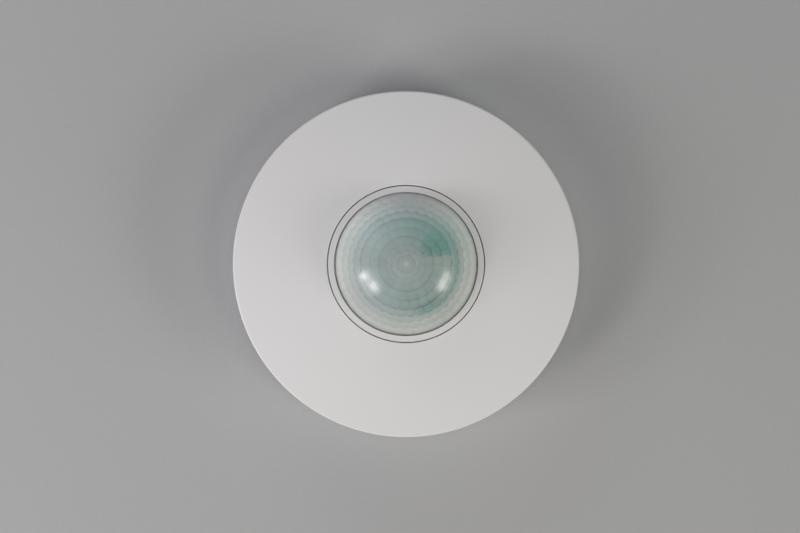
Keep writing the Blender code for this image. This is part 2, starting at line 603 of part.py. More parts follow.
def make_power_parts(parent):
    """The tall components that hang under the mains board in the tray."""
    hang_low = 4.7 * MM
    hang_high = BOARD_LOW - 0.4 * MM
    boxes = {
        "relay": ((-32.0, 13.0), (-8.0, 25.0), hang_low, "blue_plastic"),
        "film_capacitor": ((3.0, 12.0), (21.0, 20.0), hang_low, "yellow_plastic"),
        "rectifier": ((-2.5, 20.8), (3.5, 25.2), 10.0 * MM, "black_plastic"),
    }
    for name, ((x0, y0), (x1, y1), low, kind) in boxes.items():
        block(name, (x0 * MM, y0 * MM, low), (x1 * MM, y1 * MM, hang_high), kind, bevel=0.5 * MM,
              parent=parent)
    lying_rod("storage_capacitor", (14.0, 29.0, 8.7), 3.9 * MM, 14.0 * MM, "black_plastic", parent)
    lying_rod("fuse", (28.0, 24.0, 10.4), 2.0 * MM, 10.0 * MM, "grey_plastic", parent)
    lying_rod("varistor", (30.0, 16.0, 8.6), 3.8 * MM, 3.2 * MM, "blue_plastic", parent, "X")
    flange = 3.6 * MM
    waist = 2.9 * MM
    drum = [(0.0, 12.6 * MM), (flange, 12.6 * MM), (flange, 11.6 * MM), (waist, 11.4 * MM),
            (waist, 6.2 * MM), (flange, 6.0 * MM), (flange, 5.0 * MM), (0.0, 5.0 * MM)]
    turned("choke", drum, "copper", SMALL_STEPS, (-2.0 * MM, 30.5 * MM, 0.0), parent, closed=False)


def make_screws(parent):
    """The four screws that close the head, and the two that hold it to the base."""
    for number, (x, y) in enumerate(HOUSING_SCREWS, 1):
        tip, seat, end = 17.2 * MM, BACK_PLATE_LOW - GAP, 10.4 * MM
        shank, head_radius = 1.0 * MM, 2.0 * MM
        profile = [(0.0, tip), (shank - 0.1 * MM, tip), (shank, seat), (head_radius, seat),
                   (head_radius, end + EDGE), (head_radius - EDGE, end), (0.0, end)]
        turned(f"housing_screw_{number}", profile, "steel", SMALL_STEPS, (x, y, 0.0), parent, closed=False)
    for side, name in ((-1, "left"), (1, "right")):
        top, seat, tip = 19.0 * MM, SCREW_RECESS_FLOOR + GAP, 5.0 * MM
        shank, head_radius = 1.5 * MM, 2.9 * MM
        point = 0.6 * MM
        profile = [(0.0, top), (head_radius - point, top), (head_radius, top - point), (head_radius, seat),
                   (shank, seat), (shank, tip + point), (shank - point, tip), (0.0, tip)]
        centre = (side * HEAD_SCREW_X, HEAD_SCREW_Y)
        screw = turned(f"head_screw_{name}", profile, "steel", SMALL_STEPS, (*centre, 0.0), parent, closed=False)
        arms = []
        arm_length, arm_half, slot_floor = 1.7 * MM, 0.35 * MM, 18.1 * MM
        for reach_x, reach_y in ((arm_length, arm_half), (arm_half, arm_length)):
            arms.append(((centre[0] - reach_x, centre[1] - reach_y, slot_floor),
                         (centre[0] + reach_x, centre[1] + reach_y, FACE_CUT[1]), 0.0))
        cut(screw, boxes_mesh(f"cross_slot_{name}", arms[:1]))
        cut(screw, boxes_mesh(f"cross_slot_{name}_across", arms[1:]))


def make_settings(parent):
    """The three dials on their trimmers, the two-way mode switch and the test button."""
    trimmer_half = 4.0 * MM
    body_low = BOARD_HIGH + GAP
    body_high = PLATE_LOW - GAP
    for name, angle in DIAL_ANGLES.items():
        x, y = around(DIAL_CIRCLE, angle)
        block(f"trimmer_{name}", (-trimmer_half, -trimmer_half, body_low),
              (trimmer_half, trimmer_half, body_high), "black_plastic", place=(x, y, 0.0), parent=parent)
        rim = DIAL_RADIUS
        crown, dish = 2.5 * MM, 2.1 * MM
        profile = [(0.0, dish), (rim - 0.9 * MM, dish), (rim - 0.5 * MM, crown), (rim - 0.2 * MM, crown),
                   (rim, crown - 0.3 * MM), (rim, 0.0), (0.0, 0.0)]
        dial = turned(f"dial_{name}", profile, "orange_plastic", MEDIUM_STEPS, (x, y, PLATE_LOW), parent,
                      closed=False)
        half_width, half_length, slot_floor = 0.5 * MM, 2.9 * MM, PLATE_LOW + 1.3 * MM
        slot = ((x - half_width, y - half_length, slot_floor), (x + half_width, y + half_length, FACE_CUT[1]), 0.0)
        cut(dial, boxes_mesh(f"dial_slot_{name}", [slot]))

    centre = SWITCH_CENTRE
    switch_half = Vector((5.0, 2.8, 0.0)) * MM
    block("mode_switch", centre - switch_half + Vector((0.0, 0.0, body_low)),
          centre + switch_half + Vector((0.0, 0.0, body_high)), "black_plastic", parent=parent)
    knob = 0.8 * MM
    for name, x in SLIDER_XS.items():
        block(f"slider_{name}", (-knob, -knob, 0.0), (knob, knob, 2.3 * MM), "white_plastic", bevel=0.15 * MM,
              place=(x, centre.y - SLIDER_TRAVEL / 2, PLATE_LOW), parent=parent)

    tact_half = Vector((3.0, 3.0, 0.0)) * MM
    block("button_switch", BUTTON_CENTRE - tact_half + Vector((0.0, 0.0, body_low)),
          BUTTON_CENTRE + tact_half + Vector((0.0, 0.0, 16.0 * MM)), "black_plastic", parent=parent)
    cap_height, cap_low = 2.1 * MM, 16.9 * MM
    cap = [(0.0, cap_height), (BUTTON_RADIUS - 0.8 * MM, cap_height), (BUTTON_RADIUS, cap_height - 0.5 * MM),
           (BUTTON_RADIUS, 0.0), (0.0, 0.0)]
    turned("test_button", cap, "grey_plastic", MEDIUM_STEPS, (BUTTON_CENTRE.x, BUTTON_CENTRE.y, cap_low),
           parent, closed=False)


def make_sensor_board(parent):
    """The round sensor board behind the lens, and the parts on it."""
    disc_rod = (0.0, 0.0, SENSOR_BOARD_RADIUS, SENSOR_BOARD_LOW, SENSOR_BOARD_HIGH)
    disc = rod_meshes("sensor_board", [disc_rod], ROUND_STEPS)
    board = add_part("sensor_board", disc, "green_board", parent=parent)
    smooth(board.data)
    block("board_link", (-5.0 * MM, -16.2 * MM, BOARD_HIGH + GAP),
          (5.0 * MM, -13.8 * MM, SENSOR_BOARD_LOW - GAP), "black_plastic", parent=parent)

    spacer_top = SENSOR_TOP + 0.8 * MM
    spacer_radius = 5.1 * MM
    spacer = [(0.0, spacer_top), (spacer_radius - EDGE, spacer_top), (spacer_radius, spacer_top - EDGE),
              (spacer_radius, SENSOR_TOP), (0.0, SENSOR_TOP)]
    turned("pyro_spacer", spacer, "white_plastic", MEDIUM_STEPS, parent=parent, closed=False)
    can_low = spacer_top + GAP
    can_top = 22.4 * MM
    can_radius, can_flange = 4.15 * MM, 4.6 * MM
    flange_top = can_low + 0.5 * MM
    can = [(0.0, can_top), (can_radius - EDGE, can_top), (can_radius, can_top - EDGE),
           (can_radius, flange_top), (can_flange, flange_top), (can_flange, can_low), (0.0, can_low)]
    pyro = turned("pyro_can", can, "steel", MEDIUM_STEPS, parent=parent, closed=False)
    pocket = ((-2.3 * MM, -1.9 * MM, can_top - 0.7 * MM), (2.3 * MM, 1.9 * MM, can_top + 1.0 * MM), 0.0)
    cut(pyro, boxes_mesh("window_pocket", [pocket]))
    block("pyro_window", (-2.0 * MM, -1.6 * MM, can_top - 0.4 * MM), (2.0 * MM, 1.6 * MM, can_top),
          "dark_filter", parent=parent)

    block("light_sensor", (-1.5 * MM, -1.5 * MM, 0.0), (1.5 * MM, 1.5 * MM, 1.0 * MM), "clear_cell",
          place=LIGHT_PLACE, parent=parent)
    bore, outside, height = 2.5 * MM, 3.1 * MM, 4.4 * MM
    tube = [(bore, height), (outside, height), (outside, 0.0), (bore, 0.0)]
    turned("light_guide", tube, "white_plastic", MEDIUM_STEPS, LIGHT_PLACE, parent)
    led = [(0.0, 2.9 * MM), *arc((0.0, 1.6 * MM), 1.3 * MM, 60.0, 0.0, 4), (1.3 * MM, 0.6 * MM),
           (1.7 * MM, 0.6 * MM), (1.7 * MM, 0.0), (0.0, 0.0)]
    turned("indicator_led", led, "led_red", SMALL_STEPS, LED_PLACE, parent, closed=False)
    block("remote_receiver", (-2.6 * MM, -2.0 * MM, 0.0), (2.6 * MM, 2.0 * MM, 4.2 * MM), "dark_filter",
          bevel=0.5 * MM, place=RECEIVER_PLACE, parent=parent)
    block("controller_chip", (-3.5 * MM, -3.5 * MM, 0.0), (3.5 * MM, 3.5 * MM, 0.9 * MM), "black_plastic",
          place=CHIP_PLACE, parent=parent)


def main():
    """Build the base and its terminals, then the head, the lens, its ring and the cover."""
    head = group_origin("head_origin")
    ring = group_origin("ring_origin")
    ring.parent = head
    cover = group_origin("cover_origin")
    cover.parent = head
    make_base()
    make_grommet()
    make_terminal_block()
    make_poles(head)
    make_head_front(head)
    make_head_back(head)
    make_main_board(head)
    make_power_parts(head)
    make_screws(head)
    make_settings(head)
    make_sensor_board(head)
    make_lens(head)
    make_lens_ring(ring)
    make_cover(cover)


main()
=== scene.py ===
"""Round ceiling motion sensor: the fine surfaces and finishes that dress its CAD frame.

Everything is centred on the Z axis, back on the floor, lens up. Lengths are in metres, unless a comment or a
docstring says millimetres. Profiles are lists of (radius, height), outlines are lists of (x, y).
"""
import math

import bmesh
import bpy
import numpy as np
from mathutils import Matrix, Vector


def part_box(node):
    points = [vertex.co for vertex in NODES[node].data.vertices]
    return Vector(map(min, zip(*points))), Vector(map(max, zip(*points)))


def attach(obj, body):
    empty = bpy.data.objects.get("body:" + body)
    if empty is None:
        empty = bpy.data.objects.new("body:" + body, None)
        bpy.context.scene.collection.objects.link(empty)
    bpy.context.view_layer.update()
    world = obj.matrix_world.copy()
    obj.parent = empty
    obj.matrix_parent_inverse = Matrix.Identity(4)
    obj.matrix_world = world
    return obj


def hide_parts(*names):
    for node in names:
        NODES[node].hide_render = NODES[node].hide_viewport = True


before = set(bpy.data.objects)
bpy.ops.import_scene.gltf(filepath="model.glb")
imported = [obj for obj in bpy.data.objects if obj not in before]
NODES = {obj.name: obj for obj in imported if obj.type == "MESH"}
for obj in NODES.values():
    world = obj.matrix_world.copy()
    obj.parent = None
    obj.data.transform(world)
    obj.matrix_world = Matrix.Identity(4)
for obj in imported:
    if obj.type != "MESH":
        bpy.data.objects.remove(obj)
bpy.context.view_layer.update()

MM = 0.001
TURN = 2.0 * math.pi
SHARP_ANGLE = math.radians(32.0)
WELD_DISTANCE = 0.0005 * MM

# Steps round a turned piece, from the cover down to screw holes, and the grid of the lens's cells
FINE_STEPS = 256
KNURL_STEPS = 192
CAN_STEPS = 96
SMALL_STEPS = 64
POST_STEPS = 48
HOLE_STEPS = 32
CELL_ROWS = 170
CELL_COLUMNS = 560


def low(name):
    """A CAD node's lowest corner."""
    return np.array(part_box(name)[0])


def high(name):
    """A CAD node's highest corner."""
    return np.array(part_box(name)[1])


def centre_of(name):
    """The middle of a CAD node's box."""
    return (low(name) + high(name)) / 2


def in_mm(*values):
    """Numbers or points given in millimetres, as metres."""
    return np.array(values, dtype=float) * MM


def numbered(name, count):
    """The names of a repeated CAD node."""
    return [f"{name}_{number}" for number in range(1, count + 1)]


# Driving sizes, read from the frame
DISC_RADIUS = high("cover_disc")[0]
SKIRT_BOTTOM = low("cover_disc")[2]
RING_RADIUS = high("lens_ring")[0]
RING_TOP = high("lens_ring")[2]
RING_BOTTOM = low("lens_ring")[2]
LENS_TOP = high("lens_dome")[2]
LENS_FLANGE = high("lens_dome")[0]
LENS_LOW = low("lens_dome")[2]
BASE_RADIUS = high("base_housing")[0]
BASE_TOP = high("base_housing")[2]
HEAD_RADIUS = high("head_front")[0]
HEAD_WALL_LOW = low("head_front")[2]
COLLAR_TOP = high("head_front")[2]
BACK_LOW = low("head_back")[2]

# Sizes of features inside those boxes
DISC_HOLE_RADIUS = 23.98 * MM
DISC_HOLE_Z = 23.6 * MM
DISC_SLOPE = 0.087
DISC_BOW = 1.7
DISC_WALL = 2.0 * MM
LENS_RADIUS = 21.75 * MM
LENS_SPHERE = 24.0 * MM
LENS_CENTRE_Z = LENS_TOP - LENS_SPHERE
CELL_SPHERE = 23.45 * MM
CELL_SWELL = 0.09 * MM
RING_BORE = 21.83 * MM
PEG_CIRCLE = 31.0 * MM
PEG_ANGLES = (45.0, 135.0, 225.0, 315.0)
BAYONET_TURNS = (0.0, 120.0, 240.0)
BASE_FLOOR = 2.4 * MM
FITTING_FOOT = 2.2 * MM
PLATE_LOW = 16.4 * MM
PLATE_TOP = 18.3 * MM
ABOVE_PLATE = 20.5 * MM
SCREW_HOLE = 1.9 * MM
DIALS = ("range", "time", "lux")
SIDES = ("left", "right")

# The lens's rings of cells, from the middle out: outer edge in mm, cells, turn in degrees, tint
LENS_CELLS = (
    (2.8, 1, 0.0, (0.468, 0.548, 0.537)),
    (4.3, 9, 11.0, (0.460, 0.546, 0.537)),
    (6.0, 12, 4.0, (0.419, 0.510, 0.505)),
    (8.3, 15, 2.0, (0.387, 0.482, 0.473)),
    (11.0, 21, 1.7, (0.391, 0.495, 0.482)),
    (13.7, 27, 5.0, (0.380, 0.484, 0.471)),
    (15.8, 33, 3.0, (0.433, 0.522, 0.508)),
    (17.5, 36, 1.0, (0.522, 0.584, 0.562)),
    (19.4, 39, 4.0, (0.577, 0.611, 0.577)),
    (21.75, 39, 0.0, (0.628, 0.652, 0.618)),
)


# ---------------------------------------------------------------- shader maths

class Wire:
    """A shader socket that takes part in Python arithmetic; each operator adds one Math node."""

    def __init__(self, tree, socket):
        self.tree = tree
        self.socket = socket

    def math(self, operation, value, clamp=False):
        """One Math node on this socket and a value."""
        settings = {"operation": operation, "use_clamp": clamp}
        return node(self.tree, "ShaderNodeMath", settings, (self, value))

    def __add__(self, other):
        return self.math("ADD", other)

    def __radd__(self, other):
        return self.math("ADD", other)

    def __mul__(self, other):
        return self.math("MULTIPLY", other)

    def __rmul__(self, other):
        return self.math("MULTIPLY", other)

    def __lt__(self, other):
        return self.math("LESS_THAN", other)

    def clamped(self):
        """The value held between 0 and 1."""
        return self.math("ADD", 0.0, clamp=True)


def node(tree, kind, settings=(), inputs=(), output=0):
    """Any node: its settings first, then its sockets, given in order or by name, from values or wires."""
    made = tree.nodes.new(kind)
    for name, value in dict(settings).items():
        setattr(made, name, value)
    pairs = inputs.items() if isinstance(inputs, dict) else enumerate(inputs)
    for key, value in pairs:
        if isinstance(value, Wire):
            tree.links.new(value.socket, made.inputs[key])
        else:
            made.inputs[key].default_value = value
    return Wire(tree, made.outputs[output])


def rgba(colour):
    """A colour with full opacity, as sockets want it."""
    return (*colour, 1.0)


def blend(tree, factor, first, second):
    """Mix two colours, each a wire or a plain colour."""
    first = first if isinstance(first, Wire) else rgba(first)
    second = second if isinstance(second, Wire) else rgba(second)
    return node(tree, "ShaderNodeMix", {"data_type": "RGBA"}, {0: factor, 6: first, 7: second}, output=2)


def noise(tree, place, scale, detail=2.0, roughness=0.5):
    """Fractal noise between 0 and 1 on a place."""
    sockets = {"Vector": place, "Scale": scale, "Detail": detail, "Roughness": roughness}
    return node(tree, "ShaderNodeTexNoise", {}, sockets)


def object_place(tree):
    """The point on the object, in metres."""
    return node(tree, "ShaderNodeTexCoord", output=3)


def multiplied(tree, vector, factors):
    """A vector wire with each of its parts multiplied by its own factor."""
    return node(tree, "ShaderNodeVectorMath", {"operation": "MULTIPLY"}, (vector, factors))


def bump(tree, height, distance):
    """A normal from a height field, in metres of relief."""
    return node(tree, "ShaderNodeBump", {}, {"Strength": 1.0, "Distance": distance, "Height": height})


def new_material(name):
    """An empty material with a Principled shader."""
    made = bpy.data.materials.new(name)
    made.use_nodes = True
    tree = made.node_tree
    return made, tree, tree.nodes["Principled BSDF"]


def feed(tree, shader, **sockets):
    """Set or link the shader's sockets, named with underscores for spaces."""
    for name, value in sockets.items():
        socket = shader.inputs[name.replace("_", " ")]
        if isinstance(value, Wire):
            tree.links.new(value.socket, socket)
        else:
            socket.default_value = value


# ---------------------------------------------------------------- finishes

def moulded_plastic(name, colour, rough, grain, grain_scale, drift):
    """Moulded plastic: a spark-eroded grain, faint flow shading, and roughness that wanders a little."""
    made, tree, shader = new_material(name)
    place = object_place(tree)
    flow = noise(tree, place, 22.0, 3.0)
    speck = noise(tree, place, 900.0, 1.0)
    fine = noise(tree, place, grain_scale, 2.0, 0.6)
    darker = tuple(channel * (1.0 - drift) for channel in colour)
    lighter = tuple(min(1.0, channel * (1.0 + drift)) for channel in colour)
    tint = blend(tree, (flow * 0.75 + speck * 0.25).clamped(), darker, lighter)
    wander = 0.06
    feed(tree, shader, Base_Color=tint, Roughness=flow * wander + (rough - wander) + fine * wander,
         Normal=bump(tree, fine, grain))
    return made


def soft_rubber(name, colour):
    """Matt rubber with a dusty bloom."""
    made, tree, shader = new_material(name)
    place = object_place(tree)
    bloom = noise(tree, place, 160.0, 4.0)
    fine = noise(tree, place, 5200.0, 2.0)
    dusty = tuple(channel * 0.6 + 0.05 for channel in colour)
    feed(tree, shader, Base_Color=blend(tree, bloom, colour, dusty), Roughness=bloom * 0.15 + 0.7,
         Normal=bump(tree, fine, 0.02 * MM))
    return made


def plated_metal(name, colour, rough, streak=(40.0, 40.0, 900.0)):
    """Plated or stamped metal: fine drawn streaks, small stains, and worn roughness."""
    made, tree, shader = new_material(name)
    place = object_place(tree)
    drawn = noise(tree, multiplied(tree, place, streak), 6.0, 3.0)
    stain = noise(tree, place, 420.0, 3.0)
    dull = tuple(channel * 0.78 for channel in colour)
    tint = blend(tree, (stain * 0.6 + drawn * 0.4).clamped(), dull, colour)
    feed(tree, shader, Base_Color=tint, Metallic=1.0, Roughness=drawn * 0.16 + stain * 0.08 + (rough - 0.1),
         Normal=bump(tree, drawn, 0.008 * MM))
    return made


def gloss_part(name, colour, rough):
    """Dipped or potted parts: a clear gloss coat over slightly uneven colour."""
    made, tree, shader = new_material(name)
    place = object_place(tree)
    cloud = noise(tree, place, 300.0, 3.0)
    ripple = noise(tree, place, 700.0, 1.0)
    deep = tuple(channel * 0.88 for channel in colour)
    feed(tree, shader, Base_Color=blend(tree, cloud, deep, colour), Roughness=cloud * 0.1 + rough,
         Normal=bump(tree, ripple, 0.02 * MM), Coat_Weight=0.4)
    return made


def circuit_board(name):
    """Solder mask over copper tracks, with tinned pads in rows and a faint glass weave."""
    mask = (0.010, 0.165, 0.095)
    track = (0.018, 0.25, 0.15)
    tin = (0.62, 0.60, 0.56)
    made, tree, shader = new_material(name)
    place = object_place(tree)
    routes = node(tree, "ShaderNodeTexBrick", {"offset": 0.5, "squash": 0.6, "squash_frequency": 3},
                  {"Vector": place, "Scale": 260.0, "Mortar Size": 0.06, "Mortar Smooth": 0.1, "Bias": 0.0,
                   "Color1": rgba(mask), "Color2": rgba(mask), "Mortar": rgba(track)}, output=1)
    spots = node(tree, "ShaderNodeTexVoronoi", {"feature": "F1", "voronoi_dimensions": "2D"},
                 {"Vector": place, "Scale": 310.0, "Randomness": 0.55})
    pads = spots < 0.24
    weave = noise(tree, place, 2400.0, 1.0)
    masked = blend(tree, routes, blend(tree, weave * 0.25, mask, track), track)
    relief = routes * 0.5 + pads * 0.5 + weave * 0.1
    feed(tree, shader, Base_Color=blend(tree, pads, masked, tin), Roughness=weave * 0.1 + 0.28 + pads * 0.1,
         Metallic=pads * 0.8, Normal=bump(tree, relief, 0.03 * MM), Coat_Weight=0.25)
    return made


def lens_skin_finish():
    """The lens's smooth outer face: a thin milky film with a satin gloss."""
    made, tree, shader = new_material("lens_skin_milk")
    place = object_place(tree)
    milk_and_sheen = noise(tree, place, 60.0, 2.0)
    fine = noise(tree, place, 1500.0, 2.0)
    feed(tree, shader, Base_Color=blend(tree, milk_and_sheen, (0.66, 0.70, 0.68), (0.72, 0.75, 0.73)),
         Alpha=milk_and_sheen * 0.04 + 0.18, Roughness=fine * 0.04 + 0.22, Normal=bump(tree, fine, 0.002 * MM),
         Specular_IOR_Level=1.0, IOR=2.0, Coat_Weight=1.0, Coat_IOR=2.0, Coat_Roughness=0.22)
    return made


def lens_cell_finish():
    """The lens's cut inner face: each cell carries its own tint, and the film lets some of the board show."""
    made, tree, shader = new_material("lens_cell_milk")
    place = object_place(tree)
    tint = node(tree, "ShaderNodeAttribute", {"attribute_name": "cell_tint"})
    cloud = noise(tree, place, 240.0, 2.0)
    deeper = multiplied(tree, tint, (0.95, 0.965, 0.965))
    feed(tree, shader, Base_Color=blend(tree, cloud, tint, deeper), Alpha=cloud * 0.04 + 0.90,
         Roughness=cloud * 0.1 + 0.45, Specular_IOR_Level=0.2)
    return made


FINISHES = {
    # Moulded plastics: name, colour, roughness, depth and scale of the grain, drift of tone
    "cover": moulded_plastic("cover_satin_white", (0.810, 0.799, 0.803), 0.42, 0.006 * MM, 2600.0, 0.008),
    # The ring's white is darker than the cover's; part of that is painted shade for the dome's shadow on it
    "ring": moulded_plastic("ring_satin_white", (0.76, 0.76, 0.76), 0.4, 0.005 * MM, 2600.0, 0.01),
    "head": moulded_plastic("head_spark_white", (0.76, 0.755, 0.745), 0.52, 0.03 * MM, 2400.0, 0.015),
    "base": moulded_plastic("base_spark_white", (0.78, 0.78, 0.775), 0.5, 0.025 * MM, 2400.0, 0.015),
    "grey": moulded_plastic("shell_grey", (0.36, 0.37, 0.385), 0.5, 0.03 * MM, 2200.0, 0.04),
    "terminal": moulded_plastic("terminal_grey", (0.47, 0.48, 0.49), 0.45, 0.02 * MM, 2600.0, 0.03),
    "black": moulded_plastic("moulding_black", (0.022, 0.022, 0.024), 0.45, 0.02 * MM, 3000.0, 0.2),
    "orange": moulded_plastic("knob_orange", (0.78, 0.22, 0.03), 0.4, 0.01 * MM, 3000.0, 0.05),
    "relay": moulded_plastic("relay_case_blue", (0.04, 0.12, 0.4), 0.4, 0.01 * MM, 3000.0, 0.06),
    # Rubbers: name, colour
    "rubber": soft_rubber("grommet_rubber_black", (0.03, 0.03, 0.032)),
    "seal": soft_rubber("seal_foam_grey", (0.3, 0.3, 0.31)),
    # Metals: name, colour, roughness, how finely the streaks run along each axis
    "steel": plated_metal("screw_zinc", (0.62, 0.62, 0.63), 0.32),
    "can": plated_metal("can_nickel", (0.66, 0.65, 0.62), 0.3, (60.0, 60.0, 60.0)),
    "brass": plated_metal("contact_brass_stamped", (0.78, 0.56, 0.24), 0.3),
    "copper": plated_metal("winding_copper", (0.72, 0.3, 0.14), 0.34, (30.0, 30.0, 2600.0)),
    # Glossy parts: name, colour, roughness
    "filter": gloss_part("filter_dark", (0.035, 0.02, 0.03), 0.08),
    "film": gloss_part("film_case_yellow", (0.72, 0.48, 0.05), 0.25),
    "varistor": gloss_part("varistor_dip_blue", (0.05, 0.18, 0.46), 0.2),
    "sleeve": gloss_part("capacitor_sleeve_black", (0.02, 0.024, 0.05), 0.22),
    "fuse": gloss_part("fuse_body_white", (0.62, 0.61, 0.57), 0.3),
    "led": gloss_part("led_epoxy_red", (0.6, 0.04, 0.03), 0.1),
    "cell": gloss_part("light_cell_clear", (0.5, 0.5, 0.42), 0.12),
    "board": circuit_board("board_mask_green"),
    "skin": lens_skin_finish(),
    "cells": lens_cell_finish(),
}


# ---------------------------------------------------------------- surfaces

def add_piece(name, mesh, finish, body, nodes=()):
    """Make a named piece, give it its finish, tie it to its body, and hide the CAD nodes it replaces."""
    mesh.name = name
    mesh.materials.clear()
    mesh.materials.append(FINISHES[finish])
    piece = bpy.data.objects.new(name, mesh)
    bpy.context.scene.collection.objects.link(piece)
    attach(piece, body)
    if nodes:
        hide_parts(*nodes)


def shaded(mesh):
    """Smooth shading that breaks at the sharp edges."""
    mesh.shade_smooth()
    mesh.set_sharp_from_angle(angle=SHARP_ANGLE)
    return mesh


def grid_quads(index):
    """Four-cornered faces between neighbouring rows and columns of a grid of point numbers."""
    return np.stack([index[:-1, :-1], index[1:, :-1], index[1:, 1:], index[:-1, 1:]], axis=-1)


def surface_mesh(points, wrap_rows):
    """A mesh over a grid of points [row, column, xyz], closed round its columns, and round its rows if asked.
    Points that lie on each other, at poles and seams, are merged."""
    rows, columns = points.shape[:2]
    index = np.arange(rows * columns).reshape(rows, columns)
    if wrap_rows:
        index = np.vstack([index, index[:1]])
    index = np.hstack([index, index[:, :1]])
    mesh = bpy.data.meshes.new("surface")
    mesh.from_pydata(points.reshape(-1, 3).tolist(), [], grid_quads(index).reshape(-1, 4).tolist())
    work = bmesh.new()
    work.from_mesh(mesh)
    bmesh.ops.remove_doubles(work, verts=work.verts, dist=WELD_DISTANCE)
    work.to_mesh(mesh)
    work.free()
    return shaded(mesh)


def turned(profile, closed=True, steps=FINE_STEPS, centre=(0.0, 0.0)):
    """A profile carried once round an upright axis: x = r cos a, y = r sin a, z = height."""
    profile = np.asarray(profile, dtype=float)
    angles = np.arange(steps) * TURN / steps
    radius = profile[:, :1]
    points = np.empty((len(profile), steps, 3))
    points[..., 0] = centre[0] + radius * np.cos(angles)
    points[..., 1] = centre[1] + radius * np.sin(angles)
    points[..., 2] = profile[:, 1:]
    return surface_mesh(points, wrap_rows=closed)


def arc(centre, radius, start, end, count):
    """Points on an arc in the profile's plane, angles in degrees from the outward direction."""
    angles = np.radians(np.linspace(start, end, count))
    return np.stack([centre[0] + radius * np.cos(angles), centre[1] + radius * np.sin(angles)], axis=1)


def rounded(corners, radius, closed=True, count=5):
    """A polygon whose corners turn on a curve: each is cut back by the radius, or by less on a short side,
    and a quadratic curve drawn towards the corner joins the cuts. An open one keeps its two ends."""
    corners = np.asarray(corners, dtype=float)
    along = np.linspace(0.0, 1.0, count)[:, None]
    curves = []
    last = len(corners) - 1
    for i, here in enumerate(corners):
        if not closed and i in (0, last):
            curves.append(here[None])
            continue
        before = corners[i - 1] - here
        after = corners[0 if i == last else i + 1] - here
        cut = min(radius, 0.45 * np.linalg.norm(before), 0.45 * np.linalg.norm(after))
        start = here + before / np.linalg.norm(before) * cut
        end = here + after / np.linalg.norm(after) * cut
        curves.append((1 - along) ** 2 * start + 2 * along * (1 - along) * here + along ** 2 * end)
    return np.vstack(curves)


def prism(outline, bottom, top, chamfer=0.0):
    """An outline run anticlockwise and raised from bottom to top, its ends closed and its edges broken."""
    outline = np.asarray(outline, dtype=float)
    middle = outline.mean(axis=0)
    centre = middle[None].repeat(len(outline), 0)
    outward = (outline - middle) / np.linalg.norm(outline - middle, axis=1)[:, None]
    inner = outline - chamfer * outward
    rings = [(centre, top), (inner, top), (outline, top - chamfer),
             (outline, bottom + chamfer), (inner, bottom), (centre, bottom)]
    points = np.stack([np.column_stack([flat, np.full(len(flat), height)]) for flat, height in rings])
    return surface_mesh(points, wrap_rows=False)


def rectangle(low_corner, high_corner, radius=0.0, turn=0.0):
    """A rectangle's outline, run anticlockwise, with rounded corners, turned about the origin by degrees."""
    (x0, y0), (x1, y1) = low_corner, high_corner
    corners = np.array([(x0, y0), (x1, y0), (x1, y1), (x0, y1)])
    if radius > 0.0:
        corners = rounded(corners, radius, count=4)
    angle = math.radians(turn)
    spin = np.array([[math.cos(angle), math.sin(angle)], [-math.sin(angle), math.cos(angle)]])
    return corners @ spin


def circle(centre, radius, steps=SMALL_STEPS):
    """A circle's outline, run anticlockwise."""
    angles = np.arange(steps) * TURN / steps
    return np.column_stack([centre[0] + radius * np.cos(angles), centre[1] + radius * np.sin(angles)])


def around(radius, angle):
    """The point at a radius and an angle in degrees."""
    return radius * math.cos(math.radians(angle)), radius * math.sin(math.radians(angle))


def joined(meshes):
    """Several meshes as one, each left whole."""
    work = bmesh.new()
    for mesh in meshes:
        work.from_mesh(mesh)
        bpy.data.meshes.remove(mesh)
    whole = bpy.data.meshes.new("joined")
    work.to_mesh(whole)
    work.free()
    return shaded(whole)


def carved(mesh, tools, operation="DIFFERENCE"):
    """A mesh cut by, or fused with, each tool mesh in turn."""
    holder = bpy.data.objects.new("carving", mesh)
    bpy.context.scene.collection.objects.link(holder)
    helpers = []
    for tool in tools:
        helper = bpy.data.objects.new("tool", tool)
        bpy.context.scene.collection.objects.link(helper)
        cut = holder.modifiers.new("Boolean", "BOOLEAN")
        cut.operation = operation
        cut.object = helper
        helpers.append(helper)
    bpy.context.view_layer.update()
    made = bpy.data.meshes.new_from_object(holder.evaluated_get(bpy.context.evaluated_depsgraph_get()))
    for helper in (holder, *helpers):
        bpy.data.objects.remove(helper, do_unlink=True)
    return shaded(made)


# ---------------------------------------------------------------- cover and ring

def disc_top(radius):
    """Height of the cover's bowed face: it falls from the hole outwards, faster towards the rim."""
    out = radius - DISC_HOLE_RADIUS
    return DISC_HOLE_Z - DISC_SLOPE * out - DISC_BOW * out * out


